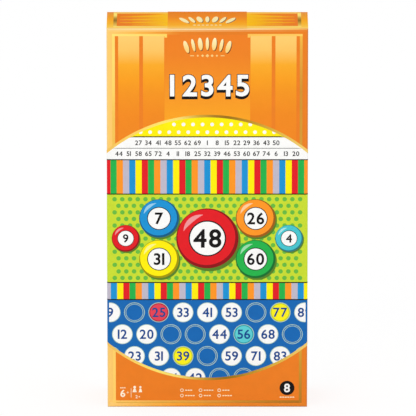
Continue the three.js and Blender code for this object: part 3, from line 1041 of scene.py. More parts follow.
@dataclass(frozen=True)
class PictureWindow:
    """The part of the cover that the picture fills, between two arcs."""

    half_width: float
    flat_half: float
    top_apex: float = 203.6
    foot_apex: float = 20.9
    radius: float = 103.6
    step: float = 3.0
    fold_steps: int = 4
    outline_steps: int = 36
    least_width: float = 0.05

    def drop(self, u: float, out: float) -> float:
        """How far a line outside an arc lies from the arc's apex towards the window's middle."""
        return self.radius - math.sqrt((self.radius + out) ** 2 - u * u)

    def top(self, u: float, out: float = 0.0) -> float:
        """The upper arc's height at a place across the cover."""
        return self.top_apex - self.drop(u, out)

    def foot(self, u: float, out: float = 0.0) -> float:
        """The lower arc's height at a place across the cover."""
        return self.foot_apex + self.drop(u, out)

    def reach(self, low: float, high: float) -> float:
        """How far from the middle a level band still has some height inside the window."""
        rise = max(self.radius + max(low - self.top_apex, self.foot_apex - high), 0.0)
        return min(math.sqrt(max(self.radius ** 2 - rise ** 2, 0.0)), self.half_width)

    def folds(self) -> list[float]:
        """Places across the cover where its folds bend."""
        fold, steps = self.half_width - self.flat_half, self.fold_steps
        return [side * (self.flat_half + fold * i / steps) for side in (-1, 1) for i in range(steps + 1)]

    def band(self, low: float, high: float, left: float = -1e3, right: float = 1e3) -> list[Stamp]:
        """The part of a level band, or of one column of it, that lies inside the window.

        Args:
            low: The band's foot.
            high: The band's top.
            left: The column's left edge.
            right: The column's right edge.

        Returns:
            The shape, or nothing where the window leaves none.
        """
        reach = self.reach(low, high)
        start, end = max(left, -reach), min(right, reach)
        if end - start < self.least_width:
            return []
        even = np.linspace(start, end, max(int((end - start) / self.step), 1) + 1).tolist()
        across = sorted({*even, *(u for u in self.folds() if start < u < end)})
        foot = [(u, max(low, self.foot(u))) for u in across]
        return [ribbon(foot, [(u, min(high, self.top(u))) for u in across])]

    def rule(self, at: float, half: float = 0.35) -> list[Stamp]:
        """A level line across the window."""
        return self.band(at - half, at + half)

    def cut(self, stamps: Iterable[Stamp]) -> list[Stamp]:
        """What is left of shapes inside the flat part of the window.

        Args:
            stamps: The shapes.

        Returns:
            The shapes, whole or cut, without those that lie outside.
        """
        across = np.linspace(-self.flat_half, self.flat_half, self.outline_steps + 1).tolist()
        foot, top = [(u, self.foot(u)) for u in across], [(u, self.top(u)) for u in across]
        region = np.array([*foot, *reversed(top)])
        along = np.roll(region, -1, axis=0) - region
        kept = []
        for stamp in stamps:
            if (np.cross(along, stamp.corners[:, None] - region) < 0).any():
                stamp = filled([*stamp.loops(), region], least=2)
            if len(stamp.triangles):
                kept.append(stamp)
        return kept


def staggered(rows: Iterable[float], pitch: float, count: int) -> Iterator[tuple[int, int, Point]]:
    """Places in level rows, with every second row half a pitch to the right.

    Args:
        rows: The rows' heights.
        pitch: The distance between places.
        count: How many places a row has on each side of its middle one.

    Returns:
        For each place its number in its row, its row and where it is.
    """
    for row, v in enumerate(rows):
        for i in range(-count, count + 1):
            yield i, row, ((i + 0.5 * (row % 2)) * pitch, v)


def arched_beads(middle: Point, pitch: float, size: Point, arch: float) -> tuple[list[Stamp], list[Stamp]]:
    """Seven long beads on an arch, slim and full in turn, and their shadows.

    Args:
        middle: The middle of the arch.
        pitch: The distance between beads.
        size: A full bead's half width and half height.
        arch: How far the arch falls, in millimetres for each square millimetre across.

    Returns:
        The beads and the shadows.
    """
    slim, sides = 0.72, 20
    aside, down = 0.28 * size[0], 0.12 * size[1]
    beads, shadows = [], []
    for i in range(-3, 4):
        width = size[0] * (1.0 if i % 2 else slim)
        bead = convex([(width * x, size[1] * y) for x, y in circle(1.0, sides=sides)])
        u, v = middle[0] + i * pitch, middle[1] - arch * (i * pitch) ** 2
        turn = -2 * arch * i * pitch
        beads.append(bead.placed((u, v), 1.0, turn))
        shadows.append(bead.placed((u + aside, v - down), 1.0, turn))
    return beads, shadows


def crescent(at: Point, radius: float) -> Stamp:
    """A curved shine near a ball's upper left edge.

    Args:
        at: The ball's middle.
        radius: Its radius.

    Returns:
        The shine.
    """
    steps, start, sweep = 14, 100, 62
    reach, thick, tip = 0.8 * radius, 0.075 * radius, 0.004 * radius
    outer, inner = [], []
    for i in range(steps + 1):
        turn = math.radians(start + sweep * i / steps)
        swell = thick * math.sin(math.pi * i / steps) + tip
        outer += arc(reach + swell, [turn], at)
        inner += arc(reach - swell, [turn], at)
    return ribbon(outer, inner)


def dashes(start: Point, count: int, pitch: float) -> list[Stamp]:
    """A line of small dashes in place of small print, from its left end half way up."""
    (u, v), half, share = start, 0.36, 0.78
    return [rectangle((u + i * pitch, u + (i + share) * pitch), (v - half, v + half)) for i in range(count)]


@dataclass(frozen=True)
class Ball:
    """A number ball of the picture. Its parts' sizes and places are shares of its radius."""

    at: Point
    radius: float
    ink: str
    number: int

    BODY, SPOT, SPOT_LINE, DIGITS = 0.93, 0.58, (0.56, 0.6), 0.62
    BODY_SHIFT, SHADOW_SHIFT = (-0.03, 0.04), (0.07, -0.1)
    SHADE, SHINE = 0.62, 0.55

    def spot(self, share: float = 1.0, shift: Point = (0.0, 0.0)) -> Stamp:
        """A round spot about the ball's middle, or to one side of it."""
        (u, v), radius = self.at, self.radius
        return disc(radius * share, (u + shift[0] * radius, v + shift[1] * radius))

    def layers(self) -> list[Layer]:
        """Its body, a shine, and a number in a white spot.

        Returns:
            Its layers.
        """
        colour = COLOURS[self.ink]
        bright = tuple(int(value + (255 - value) * self.SHINE) for value in colour)
        line = ring(*(self.radius * share for share in self.SPOT_LINE), self.at)
        number = BOLD.number(self.number, self.radius * self.DIGITS, self.at)
        return [
            Layer(Ink(f"ink_{self.ink}_shade", dimmed(colour, self.SHADE)), [self.spot()], 6),
            Layer(INKS[self.ink], [self.spot(self.BODY, self.BODY_SHIFT)], 7),
            Layer(Ink(f"ink_{self.ink}_shine", bright), [crescent(self.at, self.radius)], 8),
            Layer(INKS["white"], [self.spot(self.SPOT)], 8),
            Layer(INKS["black"], [line, *number], 9),
        ]


@dataclass
class CoverPrint:
    """The print on the lid's cover."""

    fold: float = 1.2
    line_near: float = 61.9
    line_far: float = 63.8
    top_line: Point = (259.9, 261.4)
    foot_line: Point = (3.0, 4.8)
    foot_shade: float = 0.7
    cap_inner: float = 27.0
    cap_tip: Point = (1.7, 1.0)
    columns: tuple[Point, ...] = ((28.9, 43.1), (45.6, 59.7))
    column_tuck: float = 6.0
    band_half: float = 28.8
    rim: Point = (-0.1, 1.7)
    title: tuple[int, ...] = (1, 2, 3, 4, 5)
    title_height: float = 15.0
    title_middle: float = 225.6
    title_pitch: float = 11.8
    title_drop: float = 1.6
    title_edge: float = 0.45
    emblem_middle: float = 254.6
    emblem_foot: float = 246.3
    diamonds: tuple[Point, ...] = ((-6.4, 0.8), (-3.2, 1.0), (0.0, 1.25), (3.2, 1.0), (6.4, 0.8))
    dots_foot: float = 190.0
    numbers_foot: float = 174.0
    balls: Point = (88.0, 150.0)
    stripes: tuple[tuple[float, float, int], ...] = ((150.0, 174.0, 0), (76.0, 88.0, 3))
    field_top: float = 76.0
    badge: Point = (53.9, 13.6)
    badge_radius: float = 5.05
    badge_digit: float = 6.2
    badge_line: Point = (49.0, 7.1)

    def __post_init__(self) -> None:
        """Take the cover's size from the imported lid."""
        (_, front, _), (half_width, _, self.height) = corners_of("box_lid").tolist()
        flat = half_width - self.fold
        self.face = FoldedFace((0, front, 0), (1, 0, 0), (0, 0, 1), flat, self.fold)
        self.window = PictureWindow(flat + self.fold * math.pi / 2, flat)

    def build(self) -> None:
        """Print every part of the lid."""
        self.show_ground()
        self.show_frame_line()
        self.show_title()
        self.show_emblem()
        self.show_picture_head()
        self.show_stripes()
        self.show_balls()
        self.show_number_field()
        self.show_rim()
        self.show_foot()

    def show(self, name: str, *layers: Layer) -> None:
        """Print layers on the cover."""
        printed(name, self.face, layers, Body.LID)

    def show_ground(self) -> None:
        """The orange ground inside the frame line, its four graded columns and a painted highlight under the
        top fold.
        """
        low, high = self.foot_line[0], self.top_line[1]
        flat, half = self.window.flat_half, self.band_half
        side_lap, end_lap, foot_lap, band_lap, light = 0.4, 0.6, 0.5, 0.8, 0.7
        edge, fold_edge = self.line_near + side_lap, self.height - self.fold
        column_foot = self.window.top(self.line_near) - self.column_tuck
        columns = [
            rectangle((side * near, side * far), (column_foot, self.top_line[0]))
            for side in (-1, 1)
            for near, far in self.columns
        ]
        self.show(
            "cover_ground",
            Layer(INKS["ground"], [rectangle((-edge, edge), (low + end_lap, high - end_lap))]),
            # Painted highlight strip under the top fold.
            Layer(INKS["painted_fold_highlight"], [rectangle((-flat, flat), (fold_edge - light, fold_edge))]),
            Layer(INKS["foot_band"], [rectangle((-flat, flat), (self.fold, low + foot_lap))]),
            Layer(INKS["middle_band"], [rectangle((-half, half), (column_foot, high - band_lap))], 2),
            Layer(INKS["column"], columns, 2),
        )

    def show_frame_line(self) -> None:
        """The gold line round the cover, bright at the left and dark at the right."""
        near, far, inner = self.line_near, self.line_far, self.cap_inner
        (low, foot_end), (top, high) = self.foot_line, self.top_line
        tip_width, tip_height = self.cap_tip
        shaded = low + self.foot_shade
        ends = []
        for side in (-1, 1):
            ends.append(rectangle((side * inner, side * far), (top, high)))
            ends.append(rectangle((side * inner, side * (inner + tip_width)), (top - tip_height, top)))
        spans = ((low, self.window.foot(near)), (self.window.top(near), top))
        self.show(
            "cover_frame_line",
            Layer(INKS["line_left"], [rectangle((-far, -near), span) for span in spans], 3),
            Layer(INKS["line_right"], [rectangle((near, far), span) for span in spans], 3),
            Layer(INKS["line_foot"], [rectangle((-near, near), (shaded, foot_end))], 3),
            Layer(INKS["line_foot_shade"], [rectangle((-near, near), (low, shaded))], 3),
            Layer(INKS["line_top"], ends, 3),
        )

    def show_title(self) -> None:
        """White digits with a thin black edge and a black drop shadow."""
        first = -self.title_pitch * (len(self.title) - 1) / 2
        white = []
        for i, number in enumerate(self.title):
            middle = (first + i * self.title_pitch, self.title_middle)
            white += BOLD.number(number, self.title_height, middle)
        black = [drop_shadow(stamp, self.title_edge, self.title_drop) for stamp in white]
        self.show("cover_title", Layer(INKS["black"], black, 3), Layer(INKS["white"], white, 4))

    def show_emblem(self) -> None:
        """A plain ornament at the head of the cover: seven beads on an arch over a row of diamonds."""
        foot = self.emblem_foot
        beads, shadows = arched_beads((0.0, self.emblem_middle), pitch=4.7, size=(1.55, 4.4), arch=0.011)
        beads += [convex(circle(size, (u, foot), sides=4)) for u, size in self.diamonds]
        beads += [bar((u, foot), half_width=1.3, half_height=0.3) for u in (-10.2, 10.2)]
        self.show("cover_emblem", Layer(INKS["umber"], shadows, 3), Layer(INKS["emblem"], beads, 4))

    def show_picture_head(self) -> None:
        """The yellow band with white dots, and the white band with two rows of small numbers."""
        window, pitch, size = self.window, 6.4, 1.25
        dots, numbers = [], []
        for i, _, at in staggered((193.2, 198.6), pitch, int(window.half_width / pitch)):
            if abs(i) <= int(window.reach(at[1], window.top_apex) / pitch):
                dots.append(disc(size, at))
        pitch, height, margin, clear = 6.6, 3.3, 3.0, 2.0
        for row, v in enumerate((185.8, 178.2)):
            count = int((window.reach(v + clear, window.top_apex) - margin) / pitch)
            for i in range(-count, count + 1):
                numbers += PLAIN.number(1 + (i * 7 + row * 31 + 300) % 75, height, (i * pitch, v))
        rules = window.rule(self.dots_foot) + window.rule(self.numbers_foot)
        rules += window.rule(at=182.0, half=0.18)
        self.show(
            "picture_head",
            Layer(INKS["yellow"], window.band(self.dots_foot, window.top_apex), 3),
            Layer(INKS["white"], window.band(self.numbers_foot, self.dots_foot), 3),
            Layer(INKS["white"], window.cut(dots), 4),
            Layer(INKS["black"], [*window.cut(numbers), *rules], 4),
        )

    def show_stripes(self) -> None:
        """Two level bands of upright stripes in six inks."""
        width = 4.2
        count = int(self.window.half_width / width) + 1
        by_ink: dict[str, list[Stamp]] = {name: [] for name in SIX_INKS}
        for low, high, shift in self.stripes:
            for i in range(-count, count + 1):
                stripe = self.window.band(low, high, (i - 0.5) * width, (i + 0.5) * width)
                by_ink[SIX_INKS[(i + shift) % len(SIX_INKS)]] += stripe
        self.show("picture_stripes", *(Layer(INKS[name], stripes, 3) for name, stripes in by_ink.items()))

    def show_balls(self) -> None:
        """The lime field with green dots, and the number balls on it."""
        (low, high), flat = self.balls, self.window.flat_half
        pitch, row_step, first_row, size = 5.2, 4.6, 0.7, 1.55
        rows = [low + (row + first_row) * row_step for row in range(int((high - low) / row_step))]
        places = [at for _, _, at in staggered(rows, pitch, int(flat / pitch) + 1)]
        dots = [disc(size, (u, v)) for u, v in places if abs(u) + size < flat and v + size < high]
        balls = (
            Ball((0.0, 119.0), 21.0, "red", 48),
            Ball((-32.5, 133.0), 13.4, "blue", 7),
            Ball((32.5, 133.0), 13.4, "orange", 26),
            Ball((-32.5, 104.5), 13.4, "yellow", 31),
            Ball((32.5, 104.5), 13.4, "green", 60),
            Ball((-55.0, 119.0), 9.4, "red", 9),
            Ball((55.0, 119.0), 9.4, "teal", 4),
        )
        shadow = union([ball.spot(shift=ball.SHADOW_SHIFT) for ball in balls])
        self.show(
            "picture_balls",
            Layer(INKS["lime"], self.window.band(low, high), 3),
            Layer(INKS["leaf"], dots, 4),
            Layer(Ink("ink_ball_shadow", (88, 128, 40)), [shadow], 5),
            *(layer for ball in balls for layer in ball.layers()),
            Layer(INKS["black"], self.window.rule(low) + self.window.rule(high), 5),
        )

    def show_number_field(self) -> None:
        """The blue field with level rows of number spots and empty rings, cut by the lower arc."""
        high, first_row, pitch, row_step = self.field_top, 9.0, 16.4, 15.4
        size, height, edge, chip_face, inner_ring, hollow = 7.0, 6.6, 0.45, 1.2, 1.05, 1.4
        chips = {(-2, 0): "chip_red", (1, 1): "chip_teal", (3, 0): "chip_yellow", (-1, 2): "chip_yellow"}
        spots: dict[tuple[str, int], list[Stamp]] = {}
        numbers = []
        for i, row, at in staggered([high - first_row - row * row_step for row in range(4)], pitch, 4):
            chip = chips.get((i, row))
            shown = chip is not None or (2 * i + row * 3) % 5 in (0, 2, 3)
            discs = [("mint", 0.0), ("white" if shown else "card_blue", edge)]
            if chip:
                discs = [("mint", 0.0), (f"{chip}_edge", edge), (chip, chip_face)]
            if shown:
                numbers += PLAIN.number(1 + (10 * (i + 4) + 3 * row + 2 * abs(i)) % 89, height, at)
            else:
                discs += [("mint", inner_ring), ("card_blue", hollow)]
            for level, (ink, inset) in enumerate(discs, start=4):
                spots.setdefault((ink, level), []).append(disc(size - inset, at))
        self.show(
            "picture_number_field",
            Layer(INKS["card_blue"], self.window.band(0.0, high), 3),
            *(Layer(INKS[ink], self.window.cut(stamps), level) for (ink, level), stamps in spots.items()),
            Layer(INKS["navy"], self.window.cut(numbers), 7),
            Layer(INKS["black"], self.window.rule(high), 5),
        )

    def show_rim(self) -> None:
        """The gold line along both arcs of the window, with the shine of metal."""
        flat, steps = self.window.flat_half, 60
        across = sorted({*np.linspace(-flat, flat, steps + 1).tolist(), *self.window.folds()})
        near, far = self.rim
        lines = [
            ribbon([(u, edge(u, near)) for u in across], [(u, edge(u, far)) for u in across])
            for edge in (self.window.top, self.window.foot)
        ]
        self.show("picture_rim", Layer(INKS["rim"], lines, 5))

    def show_foot(self) -> None:
        """Small marks at the foot: plain numbers, dashes in place of small print and a dark disc."""
        white, pale = self.player_marks()
        pitch, lead, inner, outer = 1.7, 2.2, 0.75, 1.2
        for row, v in enumerate((12.0, 8.2)):
            for column, u in enumerate((-17.2, -4.6, 8.0)):
                pale.append(ring(inner, outer, (u, v)))
                pale += dashes((u + lead, v), 3 + (row + column) % 2, pitch)
        pale += dashes(self.badge_line, 6, pitch)
        self.show(
            "cover_foot_marks",
            Layer(Ink("ink_foot_white", (255, 243, 216)), white, 3),
            Layer(INKS["pale"], pale, 3),
            Layer(INKS["black"], [disc(self.badge_radius, self.badge)], 3),
            Layer(INKS["white"], BOLD.number(8, self.badge_digit, self.badge), 4),
        )

    def player_marks(self) -> tuple[list[Stamp], list[Stamp]]:
        """Mark the foot's left: a six with a plus, a thin divider, and two pawns over a two with a plus.

        Returns:
            The white marks and the pale ones.
        """
        white = BOLD.number(6, height=5.2, middle=(-57.2, 9.8))
        white += BOLD.number(2, height=2.2, middle=(-47.9, 7.4))
        pale = dashes((-59.0, 13.7), count=3, pitch=1.3)
        pale.append(rectangle(across=(-51.75, -51.4), up=(6.9, 13.4)))
        half = 0.18
        for u, v, arm in ((-53.9, 10.4, 0.75), (-46.1, 7.4, 0.55)):
            pale.append(bar((u, v), arm, half))
            for side in (-1, 1):
                pale.append(rectangle((u - half, u + half), (v + side * half, v + side * arm)))
        radius, head = 0.8, 14.2
        skirt = ((-1.25, 10.6), (1.25, 10.6), (0.5, 13.2), (-0.5, 13.2))
        for u, size in ((-49.2, 1.15), (-45.3, 0.95)):
            white.append(disc(radius * size, (u, head)))
            white.append(convex([(u + share * size, v) for share, v in skirt]))
        return white, pale


@dataclass
class TopPanelPrint:
    """The print on the lid's top end panel: a plain middle and two streaked fields in a gold line."""

    band: float = 26.6
    outer: float = 63.0
    inner: float = 60.7
    front: Point = (-18.7, -15.5)
    rear: Point = (17.5, 20.1)
    front_gap: float = 0.4
    streak_count: int = 7

    LINE = GradedInk("ink_top_line", Axis.X, (
        (-63.0, (255, 222, 112)), (-30.0, (254, 212, 92)), (30.0, (254, 212, 92)), (63.0, (255, 220, 108)),
    ), gloss=DULL)
    SIDE_LINE = GradedInk("ink_top_side_line", Axis.Y, (
        (-18.7, (255, 216, 106)), (-9.0, (214, 166, 62)), (-1.0, (146, 108, 24)),
        (5.0, (190, 148, 52)), (12.0, (255, 228, 116)), (20.1, (255, 230, 120)),
    ), gloss=DULL)
    # The middle band's print lightens towards the front; its palest stop at the front fold is a painted
    # highlight.
    MIDDLE = GradedInk("ink_top_middle", Axis.Y, (
        (-22.5, (255, 210, 124)), (-19.0, (254, 194, 80)), (-13.0, (253, 176, 34)),
        (-3.0, (252, 158, 12)), (8.0, (244, 138, 20)), (22.5, (234, 130, 28)),
    ), gloss=DULL)
    BEAD = Ink("ink_top_bead", (255, 238, 176), gloss=DULL)
    STREAK = Ink("ink_streak", (255, 196, 10), gloss=DULL)

    def build(self) -> None:
        """Print the panel."""
        low, high = corners_of("box_lid").tolist()
        inside = (self.front[1], self.rear[0])
        first, last = (self.band, (255, 192, 12)), (self.inner, (240, 124, 28))
        stops = (first, (31.0, (252, 172, 16)), (40.0, (244, 140, 24)), last)
        middle = rectangle((-self.band, self.band), (low[1] + self.front_gap, high[1]))
        fields, lines, side_lines, streaks = [], [], [], []
        for side, name in ((-1, "left"), (1, "right")):
            graded = tuple(sorted((side * at, colour) for at, colour in stops))
            ink = GradedInk(f"ink_top_field_{name}", Axis.X, graded, gloss=DULL)
            fields.append(Layer(ink, [rectangle((side * self.band, side * self.inner), inside)]))
            for edge in (self.front, self.rear):
                lines.append(rectangle((side * self.band, side * self.outer), edge))
            side_lines.append(rectangle((side * self.inner, side * self.outer), inside))
            streaks += self.streaks(side)
        beads, shadows = arched_beads((0.0, 2.0), pitch=5.2, size=(1.9, 7.6), arch=0.012)
        dot_radius, dot_pitch, dot_row = 1.0, 2.9, -13.2
        beads += [disc(dot_radius, (dot_pitch * i, dot_row)) for i in range(-3, 4)]
        printed("top_panel_print", Face((0, 0, high[2]), (1, 0, 0), (0, 1, 0)), [
            Layer(self.MIDDLE, [middle]),
            *fields,
            Layer(self.STREAK, streaks, 2),
            Layer(self.LINE, lines, 2),
            Layer(self.SIDE_LINE, side_lines, 2),
            Layer(INKS["umber"], shadows, 2),
            Layer(self.BEAD, beads, 3),
        ], Body.LID)

    def streaks(self, side: int) -> list[Stamp]:
        """Tapering yellow streaks that fan out across one field.

        Args:
            side: Minus one for the left field and one for the right.

        Returns:
            The streaks.
        """
        half, count, tip = (self.rear[0] - self.front[1]) / 2, self.streak_count, 0.3
        spread_near, spread_far = 0.88 * half, 0.8 * half
        made = []
        for i in range(count):
            share = (i + 0.5) / count * 2 - 1
            thick, lift, short = (1.75, 1.1, 0.06) if i % 2 else (1.3, -1.1, 0.3)
            stop = self.inner - (self.inner - self.band) * short
            start, end = share * spread_near, share * spread_far + lift
            near = ((self.band, start - thick), (self.band, start + thick))
            far = ((stop, end + tip), (stop, end - tip))
            made.append(convex([(side * u, v) for u, v in (*near, *far)]))
        return made


@dataclass
class SidePrint:
    """The gold line round each side wall of the lid, carried round its thumb notch."""

    line: Point = (4.6, 6.1)
    notch: float = 11.0
    notch_steps: int = 14

    def build(self) -> None:
        """Print both walls."""
        _, (half_width, half_depth, height) = corners_of("box_lid").tolist()
        for side, name in ((-1, "left"), (1, "right")):
            face = Face((side * half_width, 0, 0), (0, side, 0), (0, 0, 1))
            line = ribbon(*(self.path(inset, side, half_depth, height) for inset in self.line), closed=True)
            printed(f"{name}_side_line", face, [Layer(INKS["side_line"], [line])], Body.LID)

    def path(self, inset: float, side: int, half_depth: float, height: float) -> list[Point]:
        """The line at one distance from a wall's edges and its notch.

        Args:
            inset: The distance.
            side: Minus one for the left wall and one for the right.
            half_depth: Half the wall's width.
            height: The wall's height.

        Returns:
            Its points, to the left round as the wall is seen from outside.
        """
        edge, top, radius = half_depth - inset, height - inset, self.notch + inset
        start = math.asin(inset / radius)
        turns = [start + (math.pi - 2 * start) * i / self.notch_steps for i in range(self.notch_steps + 1)]
        notch = arc(radius, [-math.pi / 2 - turn for turn in turns], (half_depth, height / 2))
        points = [(edge, inset), *notch, (edge, top), (-edge, top), (-edge, inset)]
        return points if side > 0 else [(-u, v) for u, v in reversed(points)]


# The box and its contents


class BoardFace(Enum):
    """Where a face of a folded board box lies, by its place among the box's materials."""

    COVER = 0
    SIDE = 1
    END = 2
    ROLLED = 3
    INSIDE = 4
    CUT_EDGE = 5
    TOP_FOLD = 6
    SLOT = 7
    FOOT_FOLD = 8


@dataclass
class FoldedBox:
    """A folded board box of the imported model, with a finish for each kind of face."""

    node: str
    panel_side: int
    finishes: dict[BoardFace, Finish]
    board: float = 0.8
    fold: float = 1.2
    wall: float = 2.8
    slot_reach: float = 1.0
    slack: float = 0.06

    # How much of a face's normal lies along a direction, from aslant to square on
    ASLANT, TURNED, FACING, SQUARE, FLAT, FLUSH, EXACT = 0.05, 0.1, 0.3, 0.7, 0.9, 0.99, 0.999

    def build(self) -> None:
        """Give each face of the box its finish."""
        self.low, self.high = corners_of(self.node)
        piece = dressed(self.node, *(self.finishes[kind] for kind in BoardFace))
        for face in piece.data.polygons:
            face.material_index = self.kind(np.array(face.center) / MM, np.array(face.normal)).value

    def kind(self, at: np.ndarray, normal: np.ndarray) -> BoardFace:
        """Tell what a face is from where it lies and the way it faces.

        Args:
            at: Its middle.
            normal: The way it faces.

        Returns:
            The kind of face.
        """
        from_side, _, from_end = np.minimum(at - self.low, self.high - at)
        rim, panel = (self.high[1], self.low[1])[::-self.panel_side]
        from_panel, at_rim = abs(at[1] - panel), abs(at[1] - rim) < self.slack
        out, (across, _, along) = normal[1] * self.panel_side, abs(normal)
        folded, deep = self.fold + self.slack, self.wall + self.fold
        near_side, near_slot = self.board + self.slack, self.wall + self.slot_reach
        bent = self.ASLANT < out < self.FLUSH and from_panel < folded
        end_fold = bent and from_end < folded and from_side > self.fold
        kinds = (
            (BoardFace.COVER, out > self.FACING and from_panel < self.slack),
            (BoardFace.TOP_FOLD, end_fold and at[2] > (self.low[2] + self.high[2]) / 2),
            (BoardFace.FOOT_FOLD, end_fold),
            (BoardFace.COVER, bent and from_end < folded),
            (BoardFace.SLOT, from_panel < self.board and from_end < deep < from_side),
            (BoardFace.COVER, bent and out > self.TURNED and from_side < folded),
            (BoardFace.END, along > self.SQUARE and from_end < self.slack),
            (BoardFace.SIDE, across > self.SQUARE and from_side < self.slack),
            (BoardFace.ROLLED, at_rim and from_end < self.wall + self.slack and from_side > self.board),
            (BoardFace.CUT_EDGE, at_rim),
            (BoardFace.ROLLED, along > self.FLAT and abs(from_end - self.wall) < self.slack),
            (BoardFace.CUT_EDGE, across < self.FACING and along < self.EXACT and from_side < near_side),
            (BoardFace.CUT_EDGE, from_panel < self.board - self.slack and from_end < near_slot),
            (BoardFace.INSIDE, True),
        )
        return next(kind for kind, holds in kinds if holds)


def lid_box() -> FoldedBox:
    """Choose the printed lid's finishes.

    Returns:
        The lid.
    """
    return FoldedBox("box_lid", -1, {
        # Print from pale gold to orange, with painted light at its folds: paler at the left fold (painted
        # highlight), darker at the right fold (painted shade).
        BoardFace.COVER: GradedInk("print_cover_ground_with_painted_fold_shading", Axis.X, (
            (-67.5, (242, 206, 134)), (-66.4, (252, 203, 110)), (-60.0, (250, 197, 100)),
            (-44.0, (248, 178, 72)), (-18.0, (232, 130, 36)), (0.0, (226, 125, 34)),
            (66.4, (233, 127, 32)), (67.5, (212, 126, 50)),
        )),
        BoardFace.SIDE: GradedInk("print_side_ground", Axis.X, (
            (-67.5, (246, 158, 52)), (0.0, (240, 138, 38)), (67.5, (233, 122, 32)),
        )),
        # The top panel's printed ground; its palest stop at the front fold is a painted highlight.
        BoardFace.END: GradedInk("print_end_ground_with_painted_fold_highlight", Axis.Y, (
            (-22.5, (254, 218, 148)), (-20.8, (255, 212, 116)), (-18.5, (255, 204, 80)),
            (-10.0, (254, 188, 46)), (0.0, (254, 172, 22)), (12.0, (244, 158, 40)), (22.5, (232, 146, 62)),
        ), gloss=DULL),
        BoardFace.ROLLED: Ink("print_rolled_wall", (237, 130, 36)),
        BoardFace.INSIDE: Board("board_lid_inside", (238, 236, 228), (206, 200, 188)),
        BoardFace.CUT_EDGE: Board("board_lid_edge", (214, 202, 180), (160, 140, 112), fleck_share=0.6),
        # The rounded top fold is inked pale: a painted highlight along the fold.
        BoardFace.TOP_FOLD: GradedInk("painted_highlight_top_fold", Axis.X, (
            (-67.5, (250, 212, 138)), (-36.0, (254, 222, 160)), (0.0, (252, 224, 172)),
            (36.0, (252, 208, 140)), (55.0, (249, 194, 104)), (67.5, (240, 172, 84)),
        )),
        # The rounded foot fold is inked darker: painted shade along the bottom edge.
        BoardFace.FOOT_FOLD: GradedInk("painted_shade_foot_fold", Axis.X, (
            (-67.5, (222, 178, 104)), (-30.0, (212, 158, 78)), (0.0, (210, 142, 68)), (67.5, (204, 128, 62)),
        )),
        # The slot walls are inked a light orange to lift the shade inside the slots: painted light.
        BoardFace.SLOT: Ink("painted_light_slot_walls", (238, 148, 58)),
    })


def base_box() -> FoldedBox:
    """Choose the plain base's finishes.

    Returns:
        The base.
    """
    outside = Board("board_base_outside", (246, 245, 241), (226, 222, 214), fleck_share=0.12, roughness=0.55)
    return FoldedBox("box_base", 1, {kind: outside for kind in BoardFace} | {
        BoardFace.INSIDE: Board("board_base_inside", (232, 229, 220), (196, 190, 176), fleck_share=0.3),
        BoardFace.CUT_EDGE: Board("board_base_edge", (208, 200, 184), (158, 146, 124), fleck_share=0.6),
    })


@dataclass
class InsertTray:
    """The formed plastic tray that holds the contents."""

    finish: Plastic = Plastic(
        "formed_white_plastic", (230, 231, 231),
        roughness=0.22, gloss=0.55, rounding=0.45, ripple=0.012, glow=0.04,
    )

    def build(self) -> None:
        """Dress the tray."""
        dressed("insert_tray", self.finish)


@dataclass
class NumberSpinner:
    """The spinner: its printed board, post, washer, arrow and cap."""

    sectors: int = 60
    sector_steps: int = 3
    lime_radius: float = 33.0
    sector_radius: float = 49.0
    number_radius: float = 53.9
    number_height: float = 3.3
    hole_radius: float = 2.9
    line: float = 0.35
    line_inset: float = 0.6
    dot_radius: float = 1.5
    dot_pitch: float = 4.6
    dot_row: float = 0.87
    dot_clear: float = 0.4

    def build(self) -> None:
        """Print the board and dress the rest."""
        face, size = front_of("spinner_board")
        edge = Board("board_wheel_edge", (214, 208, 194), (168, 158, 136), fleck_share=0.5)
        faced("spinner_board", INKS["white"], edge)
        printed("wheel_print", face, self.layers(size[0] / 2), Body.BASE)
        white = Plastic("white_moulding", (242, 242, 240), roughness=0.35)
        red = Plastic("red_moulding", (224, 30, 38), roughness=0.24, rounding=0.35, ripple=0.006)
        for part, finish in (("pivot", white), ("washer", white), ("arrow", red), ("cap", red)):
            dressed(f"spinner_{part}", finish)

    def layers(self, radius: float) -> list[Layer]:
        """The board's print: a white ring of numbers, coloured sectors and a dotted lime middle.

        Args:
            radius: The board's radius.

        Returns:
            Its layers.
        """
        turn = 2 * math.pi / self.sectors
        by_ink: dict[str, list[Stamp]] = {name: [] for name in SIX_INKS}
        numbers = []
        for i in range(self.sectors):
            turns = [(i + k / self.sector_steps) * turn for k in range(self.sector_steps + 1)]
            sector = ribbon(arc(self.sector_radius, turns), arc(self.lime_radius, turns))
            by_ink[SIX_INKS[i % len(SIX_INKS)]].append(sector)
            lean = -(i + 0.5) * turn
            at, = arc(self.number_radius, [math.pi / 2 + lean])
            numbers += PLAIN.number(i + 1, self.number_height, at, lean)
        edges = (radius - self.line_inset, self.sector_radius + self.line, self.lime_radius + self.line)
        return [
            Layer(INKS["lime"], [ring(self.hole_radius, self.lime_radius)]),
            *(Layer(INKS[name], stamps) for name, stamps in by_ink.items()),
            Layer(INKS["leaf"], self.dots(), 2),
            Layer(INKS["black"], [*(ring(edge - self.line, edge) for edge in edges), *numbers], 2),
        ]

    def dots(self) -> list[Stamp]:
        """Cover the lime middle with green dots in staggered rows.

        Returns:
            The dots.
        """
        count = int(self.lime_radius / self.dot_pitch) + 1
        rows = [row * self.dot_pitch * self.dot_row for row in range(-count, count + 1)]
        edge = self.dot_radius + self.dot_clear
        places = [at for _, _, at in staggered(rows, self.dot_pitch, count)]
        near, far = self.hole_radius + edge, self.lime_radius - edge
        return [disc(self.dot_radius, at) for at in places if near < math.hypot(*at) < far]


